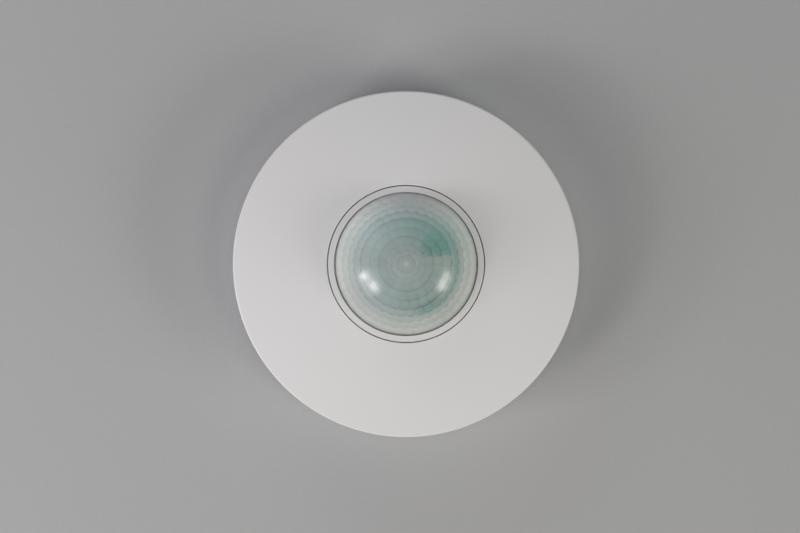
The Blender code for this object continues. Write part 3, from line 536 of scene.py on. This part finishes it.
def cover_profile():
    """The cover's section: bowed face, rounded rim, short skirt, and a lip turned down round the hole."""
    rim = 0.75 * MM
    rim_centre = (DISC_RADIUS - rim, disc_top(DISC_RADIUS - rim) - rim)
    hole_edge = 0.22 * MM
    hole_centre = (DISC_HOLE_RADIUS + hole_edge, disc_top(DISC_HOLE_RADIUS + hole_edge) - hole_edge)
    face = np.linspace(DISC_HOLE_RADIUS + hole_edge + 0.1 * MM, DISC_RADIUS - rim - 0.2 * MM, 36)
    skirt_inner = DISC_RADIUS - 1.9 * MM
    skirt_root = 17.6 * MM
    skirt = rounded([(DISC_RADIUS, rim_centre[1] - 0.2 * MM), (DISC_RADIUS, SKIRT_BOTTOM),
                     (skirt_inner, SKIRT_BOTTOM), (skirt_inner, skirt_root)], 0.4 * MM, closed=False)
    lip_outer = DISC_HOLE_RADIUS + 1.6 * MM
    lip_root = 21.0 * MM
    lip_bottom = 18.9 * MM
    lip = rounded([(lip_outer, disc_top(lip_outer) - DISC_WALL - 0.3 * MM), (lip_outer, lip_bottom),
                   (DISC_HOLE_RADIUS, lip_bottom), (DISC_HOLE_RADIUS, lip_root)], 0.3 * MM, closed=False)
    skirt_fillet = in_mm((50.9, 18.0))
    under = np.linspace(50.0 * MM, lip_outer + 0.6 * MM, 20)
    return np.vstack([
        arc(hole_centre, hole_edge, 180.0, 100.0, 6),
        np.column_stack([face, disc_top(face)]),
        arc(rim_centre, rim, 80.0, 0.0, 10),
        skirt,
        skirt_fillet,
        np.column_stack([under, disc_top(under) - DISC_WALL]),
        lip])


def sloped_rib(outline):
    """A stiffening rib under the cover: its top follows the face, a little inside, its foot 0.8 mm lower."""
    drop = (0.0, 0.0, 0.8 * MM)
    roof = disc_top(np.linalg.norm(outline, axis=1)) - DISC_WALL + 0.2 * MM
    middle = outline.mean(axis=0)[None].repeat(len(outline), 0)
    centre = np.column_stack([middle, np.full(len(outline), roof.mean())])
    upper = np.column_stack([outline, roof])
    return surface_mesh(np.stack([centre, upper, upper - drop, centre - drop]), wrap_rows=False)


def make_cover():
    """The cover's turned shell, its four pegs with a wide root and a tapered tip, and eight ribs."""
    add_piece("cover_shell", turned(cover_profile()), "cover", "cover", ["cover_disc"])
    peg = rounded(in_mm((0.0, 21.3), (2.6, 21.3), (1.95, 19.9), (1.75, 19.4), (1.75, 16.0), (1.3, 15.4),
                        (0.0, 15.4)), 0.3 * MM, closed=False)
    pegs = [turned(peg, False, HOLE_STEPS, around(PEG_CIRCLE, angle)) for angle in PEG_ANGLES]
    add_piece("cover_pegs", joined(pegs), "cover", "cover")
    strip = in_mm((27.0, -0.5), (49.6, 0.5))
    turns = np.arange(8) * 45.0 + 22.5
    ribs = [sloped_rib(rectangle(*strip, 0.2 * MM, turn)) for turn in turns]
    add_piece("cover_ribs", joined(ribs), "cover", "cover")


def make_ring():
    """The lens ring: a crown falling outwards over the lens's flange, a thin foot, and three bayonet lugs."""
    wide = LENS_FLANGE + 0.3 * MM
    shoulder = 21.9 * MM
    crown_edge = RING_TOP - 0.25 * MM
    profile = rounded([(RING_BORE, RING_TOP), (RING_RADIUS, crown_edge), (RING_RADIUS, RING_BOTTOM),
                       (wide, RING_BOTTOM), (wide, shoulder), (RING_BORE, shoulder)], 0.12 * MM, count=7)
    add_piece("ring_shell", turned(profile), "ring", "ring", ["lens_ring"])
    lug_inner, lug_half, lug_low, lug_high = in_mm(22.1, 3.8, 16.4, 17.4)
    lugs = []
    for turn in BAYONET_TURNS:
        lug = rectangle((lug_inner, -lug_half), (wide + 0.3 * MM, lug_half), 0.5 * MM, turn)
        lugs.append(prism(lug, lug_low, lug_high, 0.15 * MM))
    add_piece("ring_lugs", joined(lugs), "ring", "ring")


# ---------------------------------------------------------------- lens

def make_lens_skin():
    """The lens's outer face: a smooth cap from its top to its foot, the straight foot, and the flange."""
    foot_z = LENS_CENTRE_Z + math.sqrt(LENS_SPHERE ** 2 - LENS_RADIUS ** 2)
    foot_angle = math.degrees(math.asin((foot_z - LENS_CENTRE_Z) / LENS_SPHERE))
    flange_top = 21.6 * MM
    inside = LENS_RADIUS - 0.6 * MM
    foot = rounded([(LENS_RADIUS, foot_z - 0.3 * MM), (LENS_RADIUS, flange_top), (LENS_FLANGE, flange_top),
                    (LENS_FLANGE, LENS_LOW), (inside, LENS_LOW), (inside, flange_top)],
                   0.25 * MM, closed=False)
    cap = arc((0.0, LENS_CENTRE_Z), LENS_SPHERE, 89.0, foot_angle, 60)
    skin = turned(np.vstack([[(0.0, LENS_TOP)], cap, foot]), closed=False)
    add_piece("lens_skin", skin, "skin", "head", ["lens_dome"])


def step(value, edge, width):
    """A smooth step from 0 to 1 round an edge."""
    along = np.clip((value - edge) / width + 0.5, 0.0, 1.0)
    return along * along * (3.0 - 2.0 * along)


def band(value, start, end, soft):
    """1 between two edges and 0 outside them, with soft edges."""
    return step(value, start, soft) * step(-value, -end, soft)


def turn_band(angle, start, end, soft):
    """A band over angles in degrees, which may run through 360."""
    middle = (start + end) / 2.0
    offset = (angle - middle + 180.0) % 360.0 - 180.0
    return band(offset, start - middle, end - middle, soft)


def line(value, place, width):
    """A soft line, 1 at its place: exp of minus the squared distance over the squared width."""
    return np.exp(-((value - place) / width) ** 2)


def spot(x, y, centre, reach):
    """A soft spot, 1 at its centre: the product of a soft line over x and one over y."""
    return line(x, centre[0], reach[0]) * line(y, centre[1], reach[1])


def lay(tint, colour, weight):
    """Lay a colour over a tint by weight."""
    return tint + (np.array(colour) - tint) * np.clip(weight, 0.0, 1.0)[..., None]


def cell_fields(radius, angle):
    """For each point of the lens, in millimetres and radians: its ring, where it lies in its cell from edge
    to edge (-1 to 1, sideways and across the ring), its cell's middle, and its ring's tint. A ring's outer
    edge bows out in the middle of each cell, more in the outer rings, and not in the first and the last."""
    edges, counts, turns, tints = (np.array(column) for column in zip(*LENS_CELLS))
    turns = np.radians(turns)
    bowed = (edges > edges[0]) & (edges < edges[-1])
    bow_depth = (0.15 + 0.40 * step(edges, 12.0, 4.0)) * bowed
    ring = np.zeros(radius.shape, dtype=int)
    for edge, count, turn, depth in zip(edges[:-1], counts, turns, bow_depth):
        bow = np.abs(np.sin(count * (angle + turn) / 2.0))
        ring += (radius > edge + depth * (bow - 0.6)).astype(int)
    inner = np.concatenate([[0.0], edges[:-1]])[ring]
    outer = edges[ring]
    phase = counts[ring] * (angle + turns[ring]) / TURN
    lone = ring == 0
    sideways = np.where(lone, 0.0, 2.0 * (phase % 1.0) - 1.0)
    across_ring = np.clip(2.0 * (radius - inner) / (outer - inner) - 1.0, -1.0, 1.0)
    across = np.where(lone, radius / outer, across_ring)
    middle_angle = np.where(lone, 0.0, (np.floor(phase) + 0.5) * TURN / counts[ring] - turns[ring])
    middle_radius = np.where(lone, 0.0, (inner + outer) / 2.0)
    return ring, sideways, across, middle_radius, middle_angle, tints[ring]


def board_tint_and_painted_light(tint, x, y):
    """Colour what the cells gather from behind them, by place in millimetres, with painted light laid in.
    Each layer is a colour and where it lies: a pale haze at -X, on the windows' side, which is painted
    sheen, green board round +X with a deeper part at its foot, and a bare dark patch between +X and +Y with
    a pale part under it. A painted glow lifts the +Y side, away from the windows, standing in for light
    that crosses the dome, by the square of half of one plus the angle's sine."""
    radius = np.hypot(x, y)
    angle = np.degrees(np.arctan2(y, x))
    # Painted sheen: a paler stretch at -X, on the side where the windows stand
    milk_and_sheen = 0.5 * step(-x, 9.0, 9.0) * step(radius, 9.0, 4.0) * step(-radius, -15.8, 4.0)
    outer_green = 0.8 * band(radius, 13.7, 16.4, 1.4) * turn_band(angle, -80.0, 30.0, 34.0)
    inner_green = 0.6 * band(radius, 8.3, 13.7, 1.6) * turn_band(angle, -100.0, 110.0, 50.0)
    foot_green = 0.6 * band(radius, 12.9, 15.2, 1.0) * turn_band(angle, -76.0, -48.0, 20.0)
    far_green = 0.8 * spot(x, y, (9.3, 7.4), (5.6, 5.6)) * step(y, 2.5, 0.8)
    patch_edges = band(radius, 5.2, 13.8, 1.4) * turn_band(angle, -4.0, 54.0, 30.0)
    patch = step(y, 2.5, 0.7) * step(x, 4.4, 1.8) * patch_edges
    bare_patch = 0.95 * patch * (0.35 + 0.65 * spot(x, y, (9.2, 5.6), (4.4, 4.0)))
    pale = 0.6 * band(y, -1.4, 2.3, 1.0) * band(x, 8.4, 13.7, 1.2)
    layers = (
        ((0.45, 0.50, 0.485), milk_and_sheen),
        ((0.280, 0.440, 0.400), outer_green),
        ((0.290, 0.425, 0.395), inner_green),
        ((0.170, 0.370, 0.320), foot_green),
        ((0.200, 0.395, 0.360), far_green),
        ((0.150, 0.375, 0.335), bare_patch),
        ((0.44, 0.50, 0.465), pale),
    )
    for colour, weight in layers:
        tint = lay(tint, colour, weight)
    # Painted glow: the +Y side, away from the windows, is lifted as if lit by light crossing the dome
    painted_glow = step(radius, 8.0, 12.0) * (0.5 + 0.5 * np.sin(np.radians(angle))) ** 2
    return tint * (1.0 + 0.74 * painted_glow)[..., None]


def cell_shade(seen, fields, swell, radius, angle):
    """How light each point is beside what it gathers: every cell differs a little from its neighbours,
    darkens across its ring, is a little lighter in its middle, and is darker along its edges, most where
    the board behind is deep green. Round +X the outer rings carry a pale and a dark line each. Two borders
    between rings are dark all the way round."""
    ring, sideways, across, _, middle_angle, _ = fields
    own = 0.025 * np.sin(ring * 12.9 + middle_angle * 7.3)
    fall = np.where(ring > 2, 0.06, 0.045) * across
    ring_edge = step(np.abs(across), 0.88, 0.24)
    divider = step(np.abs(sideways), 0.88, 0.24)
    round_edge = step(np.hypot(sideways, across), 1.0, 0.5)
    depth = (1.0 - seen.mean(axis=-1) / 0.455).clip(0.0)
    shade = 1.0 + own - fall + 0.02 * swell - 0.06 * ring_edge - 0.02 * divider - 1.3 * depth * round_edge
    side = turn_band(np.degrees(angle), -75.0, 40.0, 50.0) * band(radius, 13.6, 18.6, 1.2)
    side_lines = 0.16 * line(across, -0.85, 0.3) - 0.10 * step(across, 0.6, 0.5)
    borders = 0.10 * line(radius, 13.7, 0.35) + 0.06 * line(radius, 8.3, 0.35)
    return shade + side * side_lines - borders


def painted_cap(points, colours):
    """A cap over a grid of points [row, column, xyz] whose first row is all one point: a fan round that
    point, then rows of quads, closed round the axis. Each point carries its colour."""
    rows, columns = points.shape[:2]
    index = 1 + np.arange((rows - 1) * columns).reshape(rows - 1, columns)
    index = np.vstack([np.zeros((1, columns), dtype=int), index])
    quads = grid_quads(np.hstack([index, index[:, :1]]))
    fan = quads[0][:, :3].tolist()
    places = np.vstack([points[0, :1], points[1:].reshape(-1, 3)])
    mesh = bpy.data.meshes.new("cap")
    mesh.from_pydata(places.tolist(), [], fan + quads[1:].reshape(-1, 4).tolist())
    values = np.ones((len(places), 4), dtype=np.float32)
    values[:, :3] = np.vstack([colours[0, :1], colours[1:].reshape(-1, 3)])
    paint = mesh.color_attributes.new("cell_tint", "FLOAT_COLOR", "POINT")
    paint.data.foreach_set("color", values.ravel())
    mesh.shade_smooth()
    return mesh


def make_lens_cells():
    """The lens's cut inner face: rings of small bowed cells. Each point lies on a sphere and swells in its
    cell's middle, by one less the square of its place in the cell, sideways times across. Its tint is what
    that cell gathers from a wider patch behind, with the painted sheen and glow laid in, and a pale dot is
    laid on the axis."""
    reach = math.degrees(math.asin((LENS_RADIUS - 0.03 * MM) / CELL_SPHERE))
    tilt = np.radians(np.concatenate([[0.0], np.linspace(0.3, reach, CELL_ROWS)]))
    turn = np.arange(CELL_COLUMNS) * TURN / CELL_COLUMNS
    tilts, angle = np.meshgrid(tilt, turn, indexing="ij")
    radius = CELL_SPHERE * np.sin(tilts) / MM
    fields = cell_fields(radius, angle)
    _, sideways, across, middle_radius, middle_angle, tint = fields
    swell = (1.0 - sideways ** 2) * (1.0 - across ** 2)
    height = CELL_SPHERE + CELL_SWELL * swell
    points = np.stack([height * np.sin(tilts) * np.cos(angle), height * np.sin(tilts) * np.sin(angle),
                       LENS_CENTRE_Z + height * np.cos(tilts)], axis=-1)
    x = radius * np.cos(angle)
    y = radius * np.sin(angle)
    middle_x = middle_radius * np.cos(middle_angle)
    middle_y = middle_radius * np.sin(middle_angle)
    gather = 1.3
    seen = board_tint_and_painted_light(tint, middle_x + gather * (x - middle_x), middle_y + gather * (y - middle_y))
    shade = cell_shade(seen, fields, swell, radius, angle)
    # A pale dot laid on the axis
    axis_dot = 0.7 * line(radius, 0.0, 0.6)
    colours = lay((seen * shade[..., None]).clip(0.0, 1.0), (0.80, 0.84, 0.80), axis_dot)
    add_piece("lens_cells", painted_cap(points, colours), "cells", "head")


# ---------------------------------------------------------------- base

def make_base_shell():
    """The base tray: a turned wall and floor, pierced by two oblong slots, with a thinned knock-out."""
    inner = BASE_RADIUS - 2.0 * MM
    hole = 7.5 * MM
    profile = rounded([(inner, BASE_TOP), (BASE_RADIUS, BASE_TOP), (BASE_RADIUS, 0.0), (hole, 0.0),
                       (hole, BASE_FLOOR), (inner, BASE_FLOOR)], 0.7 * MM, count=6)
    slot_half = in_mm(2.2, 5.0)
    tools = []
    for side in (-1, 1):
        middle = in_mm(side * 30.0, 0.0)
        slot = rounded(rectangle(middle - slot_half, middle + slot_half), 2.19 * MM, count=12)
        tools.append(prism(slot, -1.0 * MM, 4.0 * MM))
    knock_out = rectangle(*in_mm((-50.0, -5.5), (-48.0, 5.5)), turn=12.0)
    tools.append(prism(knock_out, 2.6 * MM, 12.0 * MM))
    add_piece("base_shell", carved(turned(profile), tools), "base", "base", ["base_housing"])


def make_base_fittings():
    """On the base's floor: two screw posts with crossed webs, two ledges, six keys, and the entry's rim."""
    post_top = 11.3 * MM
    bore, wall = in_mm(1.8, 3.6)
    post = rounded([(bore, post_top), (wall, post_top), (wall, FITTING_FOOT), (bore, FITTING_FOOT)],
                   0.25 * MM)
    fittings = []
    for side in (-1, 1):
        place = in_mm(side * 33.0, -23.0)
        fittings.append(turned(post, steps=POST_STEPS, centre=place))
        for turn in (0.0, 90.0):
            web = rectangle(*in_mm((-4.6, -0.5), (4.6, 0.5)), turn=turn) + place
            fittings.append(prism(web, FITTING_FOOT, 3.4 * MM, 0.1 * MM))
    for turn in (30.0, 150.0):
        ledge = rectangle(*in_mm((45.0, -4.0), (47.4, 4.0)), 0.4 * MM, turn)
        fittings.append(prism(ledge, FITTING_FOOT, post_top, 0.2 * MM))
    for turn in np.arange(6) * 60.0 + 15.0:
        key = rectangle(*in_mm((46.2, -0.6), (47.4, 0.6)), 0.2 * MM, turn)
        fittings.append(prism(key, FITTING_FOOT, 10.0 * MM, 0.1 * MM))
    rim_inner, rim_outer, rim_top = in_mm(14.0, 14.8, 3.0)
    rim = rounded([(rim_inner, rim_top), (rim_outer, rim_top), (rim_outer, FITTING_FOOT),
                   (rim_inner, FITTING_FOOT)], 0.15 * MM)
    fittings.append(turned(rim, steps=CAN_STEPS))
    add_piece("base_fittings", joined(fittings), "base", "base")


def make_grommet():
    """The rubber grommet: a neck in the floor's hole between two lips, with a thin waist round its bore."""
    bore, neck, bowl, lip = 3.3, 7.2, 6.2, 9.1
    section = in_mm((bore, 2.2), (bowl, 2.2), (bowl, 3.6), (lip, 3.6), (lip, 2.7),
                    (neck, 2.7), (neck, 0.3), (bowl, 0.3), (bowl, 1.2), (bore, 1.2))
    body = turned(rounded(section, 0.25 * MM), steps=CAN_STEPS)
    add_piece("grommet_body", body, "rubber", "base", ["cable_grommet"])


# ---------------------------------------------------------------- head

def head_face_profile():
    """The carrier's section: a collar round the lens, a moat for the ring, the sloping plate and the wall."""
    collar_inner, collar_outer, moat_outer, moat_wall, foot_inner = in_mm(20.4, 21.8, 25.0, 26.6, 18.4)
    plate_edge, moat_floor, foot_top, foot_low = in_mm(17.8, 15.9, 15.7, 15.0)
    wall_inner = HEAD_RADIUS - 1.4 * MM
    return rounded([
        (collar_inner, COLLAR_TOP), (collar_outer, COLLAR_TOP), (collar_outer, moat_floor),
        (moat_outer, moat_floor), (moat_outer, PLATE_TOP), (HEAD_RADIUS - 0.3 * MM, plate_edge),
        (HEAD_RADIUS, HEAD_WALL_LOW), (wall_inner, HEAD_WALL_LOW), (wall_inner, PLATE_LOW),
        (moat_wall, PLATE_LOW), (moat_wall, foot_low), (foot_inner, foot_low), (foot_inner, foot_top),
        (collar_inner, foot_top)], 0.3 * MM)


def make_head_face():
    """The head's carrier, pierced for the dials, button, pegs, screws and sliders, with recessed screws."""
    screws = [centre_of(f"head_screw_{side}") for side in SIDES]
    holes = [circle(centre_of(f"dial_{name}"), 4.6 * MM) for name in DIALS]
    holes.append(circle(centre_of("test_button"), 3.4 * MM))
    holes += [circle(around(PEG_CIRCLE, angle), 2.15 * MM, HOLE_STEPS) for angle in PEG_ANGLES]
    holes += [circle(screw, SCREW_HOLE, HOLE_STEPS) for screw in screws]
    window_half = in_mm(1.2, 2.3)
    for side in SIDES:
        middle = centre_of(f"slider_{side}")[:2] + in_mm(0.0, 1.0)
        holes.append(rectangle(middle - window_half, middle + window_half, 0.3 * MM))
    tools = [prism(hole, 15.4 * MM, ABOVE_PLATE) for hole in holes]
    tools += [prism(circle(screw, 3.3 * MM), 17.2 * MM, ABOVE_PLATE) for screw in screws]
    shell = carved(turned(head_face_profile()), tools)
    add_piece("head_face", shell, "head", "head", ["head_front"])


def scale_marks(centre):
    """Raised strokes round a dial, longer at the ends and the middle of its turn, on the sloping plate."""
    marks = []
    for index, turn in enumerate(np.linspace(-135.0, 135.0, 7)):
        reach = 6.5 if index in (0, 3, 6) else 6.0
        stroke = rectangle(*in_mm((5.2, -0.15), (reach, 0.15)), 0.05 * MM, turn + 90.0) + centre[:2]
        out = np.linalg.norm(stroke.mean(axis=0)) - 25.2 * MM
        plate = PLATE_TOP - 0.5 * MM * out / (21.0 * MM)
        marks.append(prism(stroke, plate - 0.2 * MM, plate + 0.12 * MM, 0.03 * MM))
    return marks


def make_head_marks():
    """What stands proud of the carrier: three bayonet ribs on its collar and the strokes round each dial."""
    pieces = []
    for turn in BAYONET_TURNS:
        rib = rectangle(*in_mm((21.5, -5.1), (22.0, 5.1)), 0.1 * MM, turn)
        pieces.append(prism(rib, 17.7 * MM, 18.9 * MM, 0.05 * MM))
    for name in DIALS:
        pieces += scale_marks(centre_of(f"dial_{name}"))
    add_piece("head_marks", joined(pieces), "head", "head")


def d_outline(radius, flat_y):
    """A D shape, anticlockwise: the part of a circle beyond a straight edge at flat_y."""
    start = math.asin(flat_y / radius)
    angles = np.linspace(start, math.pi - start, 72)
    return np.column_stack([radius * np.cos(angles), radius * np.sin(angles)])


def make_head_back():
    """The head's closed back: a round plate fused with a hollow D-shaped tray, cut for blades and screws."""
    plate_radius, plate_top, plate_low = in_mm(46.0, 12.8, 11.6)
    plate = turned(rounded([(0.0, plate_top), (plate_radius, plate_top), (plate_radius, plate_low),
                            (0.0, plate_low)], 0.3 * MM, closed=False), closed=False)
    tray_radius, tray_flat, wall = in_mm(44.0, 9.6, 1.3)
    tray = prism(d_outline(tray_radius, tray_flat), BACK_LOW, 12.2 * MM, 0.4 * MM)
    shell = carved(plate, [tray], "UNION")
    above = 14.0 * MM
    below = 10.0 * MM
    tools = [prism(d_outline(tray_radius - wall, tray_flat + wall), 4.3 * MM, above)]
    slit_half = in_mm(0.9, 2.1)
    for name in numbered("plug_blade", 3):
        blade = centre_of(name)[:2]
        slit = rectangle(blade - slit_half, blade + slit_half, 0.2 * MM)
        tools.append(prism(slit, below, above))
    screws = [(f"head_screw_{side}", SCREW_HOLE) for side in SIDES]
    screws += [(name, 1.4 * MM) for name in numbered("housing_screw", 4)]
    for name, radius in screws:
        tools.append(prism(circle(centre_of(name), radius, HOLE_STEPS), below, above))
    add_piece("head_back_shell", carved(shell, tools), "grey", "head", ["head_back"])


def make_dials():
    """The three setting knobs: a turned cap with a raised rim, whose side's radius dips 24 times round in a
    squared cosine, cut by an arrow-ended slot."""
    angles = np.arange(KNURL_STEPS) * TURN / KNURL_STEPS
    knurl = 1.0 - 0.02 * (0.5 + 0.5 * np.cos(24 * angles)) ** 2
    for name in [f"dial_{setting}" for setting in DIALS]:
        centre = centre_of(name)
        bottom = low(name)[2]
        top = high(name)[2]
        radius = high(name)[0] - centre[0]
        dish = top - 0.4 * MM
        profile = rounded([(0.0, dish), (radius - 1.0 * MM, dish), (radius - 0.6 * MM, top),
                           (radius - 0.15 * MM, top), (radius - 0.05 * MM, bottom), (0.0, bottom)],
                          0.15 * MM, closed=False, count=4)
        reach = profile[:, :1] * np.where(profile[:, :1] > radius * 0.9, knurl, 1.0)
        points = np.stack([centre[0] + reach * np.cos(angles), centre[1] + reach * np.sin(angles),
                           np.broadcast_to(profile[:, 1:], reach.shape)], axis=-1)
        slot_floor = bottom + 1.3 * MM
        slot = rectangle(*in_mm((-0.5, -2.9), (0.5, 2.9)), 0.1 * MM) + centre[:2]
        arrow = in_mm((-1.5, 1.5), (1.5, 1.5), (0.0, 3.2)) + centre[:2]
        tools = [prism(slot, slot_floor, ABOVE_PLATE),
                 prism(arrow, slot_floor + 0.15 * MM, ABOVE_PLATE + 0.1 * MM)]
        knob = carved(surface_mesh(points, wrap_rows=False), tools)
        add_piece(f"{name}_knob", knob, "orange", name, [name])


def make_test_button():
    """The test button's cap: a dished face in a raised rim."""
    bottom = low("test_button")[2]
    top = high("test_button")[2]
    wall = 3.0 * MM
    cap = rounded([(0.0, top - 0.25 * MM), (1.6 * MM, top - 0.2 * MM), (2.1 * MM, top),
                   (2.6 * MM, top - 0.1 * MM), (wall, top - 0.6 * MM), (wall, bottom), (0.0, bottom)],
                  0.25 * MM, closed=False)
    mesh = turned(cap, False, SMALL_STEPS, centre_of("test_button"))
    add_piece("test_button_cap", mesh, "grey", "test_button", ["test_button"])


def make_sensor_can():
    """The sensor can, with a brim at its foot and a pocket for its window, and the stand under it."""
    bottom = low("pyro_can")[2]
    top = high("pyro_can")[2]
    wall, brim = in_mm(4.15, 4.6)
    brim_top = bottom + 0.5 * MM
    can = rounded([(0.0, top), (wall, top), (wall, brim_top), (brim, brim_top), (brim, bottom),
                   (0.0, bottom)], 0.3 * MM, closed=False)
    pocket = prism(rectangle(*in_mm((-2.3, -1.9), (2.3, 1.9)), 0.4 * MM), top - 0.7 * MM, top + 1.0 * MM)
    shell = carved(turned(can, False, CAN_STEPS), [pocket])
    add_piece("pyro_can_shell", shell, "can", "head", ["pyro_can"])
    bottom = low("pyro_spacer")[2]
    top = high("pyro_spacer")[2]
    edge = 5.1 * MM
    stand = rounded([(0.0, top), (edge, top), (edge, bottom), (0.0, bottom)], 0.2 * MM, closed=False)
    add_piece("pyro_stand", turned(stand, False, CAN_STEPS), "head", "head", ["pyro_spacer"])


def make_indicator():
    """The indicator: a round-topped bulb on a wider foot."""
    bottom = low("indicator_led")[2]
    top = high("indicator_led")[2]
    bulb, foot = in_mm(1.3, 1.7)
    foot_top = bottom + 0.6 * MM
    profile = np.vstack([[(0.0, top)], arc((0.0, top - bulb), bulb, 88.0, 0.0, 14),
                         [(bulb, foot_top), (foot, foot_top), (foot, bottom), (0.0, bottom)]])
    mesh = turned(profile, False, POST_STEPS, centre_of("indicator_led"))
    add_piece("indicator_bulb", mesh, "led", "head", ["indicator_led"])


def make_light_tube():
    """The tube that keeps stray light off the light sensor."""
    bottom = low("light_guide")[2]
    top = high("light_guide")[2]
    bore, wall = in_mm(2.5, 3.1)
    tube = rounded([(bore, top), (wall, top), (wall, bottom), (bore, bottom)], 0.15 * MM)
    mesh = turned(tube, steps=SMALL_STEPS, centre=centre_of("light_guide"))
    add_piece("light_tube", mesh, "head", "head", ["light_guide"])


# The CAD nodes that stay, by finish
CARRIED = {
    "terminal": ["terminal_block"],
    "orange": numbered("terminal_pusher", 3),
    "steel": numbered("terminal_clamp", 3) + [f"head_screw_{side}" for side in SIDES]
             + numbered("housing_screw", 4),
    "brass": numbered("contact_strip", 3) + numbered("plug_blade", 3),
    "board": ["main_board", "sensor_board"],
    "relay": ["relay"],
    "film": ["film_capacitor"],
    "sleeve": ["storage_capacitor"],
    "varistor": ["varistor"],
    "fuse": ["fuse"],
    "copper": ["choke"],
    "black": ["rectifier", "controller_chip", "mode_switch", "button_switch", "board_link"]
             + [f"trimmer_{name}" for name in DIALS],
    "head": [f"slider_{side}" for side in SIDES],
    "filter": ["pyro_window", "remote_receiver"],
    "cell": ["light_sensor"],
    "seal": ["lens_seal"],
}


def finish_carried_nodes():
    """Give each CAD node that stays its finish."""
    for finish, names in CARRIED.items():
        for name in names:
            mesh = NODES[name].data
            mesh.materials.clear()
            mesh.materials.append(FINISHES[finish])


# ---------------------------------------------------------------- stage, light and camera

# Lights: name, azimuth and elevation in degrees, distance, width and height, watts, colour.
# The windows show in the gloss, and the fills don't.
WINDOWS = (
    ("near_left_low", 196.0, 22.5, 1.2, (0.13, 0.18), 1.35, (1.03, 0.99, 0.98)),
    ("near_left_high", 214.5, 31.0, 1.2, (0.22, 0.20), 1.50, (1.03, 0.99, 0.97)),
    ("near_left_wide", 207.0, 26.0, 1.2, (0.66, 0.46), 2.12, (0.98, 1.0, 1.02)),
    ("near_right", 336.0, 26.0, 1.2, (0.52, 0.26), 2.80, (1.05, 0.99, 0.93)),
    ("near_right_core", 328.5, 27.5, 1.2, (0.18, 0.24), 0.45, (1.05, 0.99, 0.92)),
)
FILLS = (
    ("low_left_fill", 202.0, 12.0, 0.6, (0.40, 0.15), 0.72, (1.02, 0.97, 1.06)),
    ("low_right_fill", 330.0, 12.0, 2.5, (1.67, 0.52), 11.4, (0.96, 1.02, 0.99)),
    ("high_left_fill", 205.0, 45.0, 0.6, (0.20, 0.20), 0.41, (1.03, 1.0, 0.95)),
    ("high_right_fill", 325.0, 55.0, 1.2, (0.40, 0.40), 1.75, (1.0, 1.05, 0.92)),
    ("behind_fill", 112.0, 22.0, 0.6, (0.35, 0.15), 0.50, (0.90, 1.02, 1.10)),
    ("overhead", 0.0, 90.0, 1.2, (0.40, 0.40), 2.40, (1.02, 0.97, 1.03)),
)
LIGHTS_AIM = np.array((0.0, 0.0, 0.02))


def make_floor():
    """A large, plain, pale floor with a faint paper tooth."""
    reach = 3.0
    corners = [(-reach, -reach, 0.0), (reach, -reach, 0.0), (reach, reach, 0.0), (-reach, reach, 0.0)]
    mesh = bpy.data.meshes.new("floor")
    mesh.from_pydata(corners, [], [(0, 1, 2, 3)])
    made, tree, shader = new_material("floor_paper")
    tooth = noise(tree, object_place(tree), 700.0, 3.0)
    feed(tree, shader, Base_Color=blend(tree, tooth, (0.443, 0.446, 0.451), (0.475, 0.478, 0.483)),
         Roughness=0.85, Normal=bump(tree, tooth, 0.02 * MM))
    mesh.materials.append(made)
    floor = bpy.data.objects.new("floor", mesh)
    bpy.context.scene.collection.objects.link(floor)


def soft_light(name, azimuth, elevation, distance, size, power, colour, mirrored):
    """A rectangular soft light seen from the object at an azimuth and elevation in degrees, facing it; one
    that is not mirrored lights the object without showing in its gloss."""
    data = bpy.data.lights.new(name, "AREA")
    data.shape = "RECTANGLE"
    data.size, data.size_y = size
    data.energy = power
    data.color = colour
    lamp = bpy.data.objects.new(name, data)
    bpy.context.scene.collection.objects.link(lamp)
    away = np.array([*around(math.cos(math.radians(elevation)), azimuth), math.sin(math.radians(elevation))])
    lamp.location = distance * away + LIGHTS_AIM
    lamp.rotation_euler = (math.radians(90.0 - elevation), 0.0, math.radians(azimuth + 90.0))
    lamp.visible_glossy = mirrored


def light_stage():
    """Window-like lights low on the near left and near right, weak fills, and a dim room."""
    for row in WINDOWS:
        soft_light(*row, mirrored=True)
    for row in FILLS:
        soft_light(*row, mirrored=False)
    world = bpy.data.worlds.new("dim_room")
    world.use_nodes = True
    background = world.node_tree.nodes["Background"]
    background.inputs["Color"].default_value = rgba((1.0, 1.0, 1.0))
    background.inputs["Strength"].default_value = 0.005
    bpy.context.scene.world = world


def make_camera():
    """The camera looks straight down, so far up that the disc's rim fills its share of the view's width. It
    stands a little off the axis, so that the disc lies a little to the right."""
    disc_share = 0.4325
    rim_height = 18.6 * MM
    off_axis = in_mm(-1.84, -0.77)
    data = bpy.data.cameras.new("camera")
    data.lens = 85.0
    data.sensor_width = 36.0
    data.clip_start = 0.01
    data.clip_end = 20.0
    distance = 2.0 * DISC_RADIUS / disc_share * data.lens / data.sensor_width
    camera = bpy.data.objects.new("camera", data)
    bpy.context.scene.collection.objects.link(camera)
    camera.location = (*off_axis, rim_height + distance)
    bpy.context.scene.camera = camera
    bpy.context.scene.view_settings.view_transform = "Standard"


make_camera()
make_cover()
make_ring()
make_lens_skin()
make_lens_cells()
make_base_shell()
make_base_fittings()
make_grommet()
make_head_face()
make_head_marks()
make_head_back()
make_dials()
make_test_button()
make_sensor_can()
make_indicator()
make_light_tube()
finish_carried_nodes()
make_floor()
light_stage()
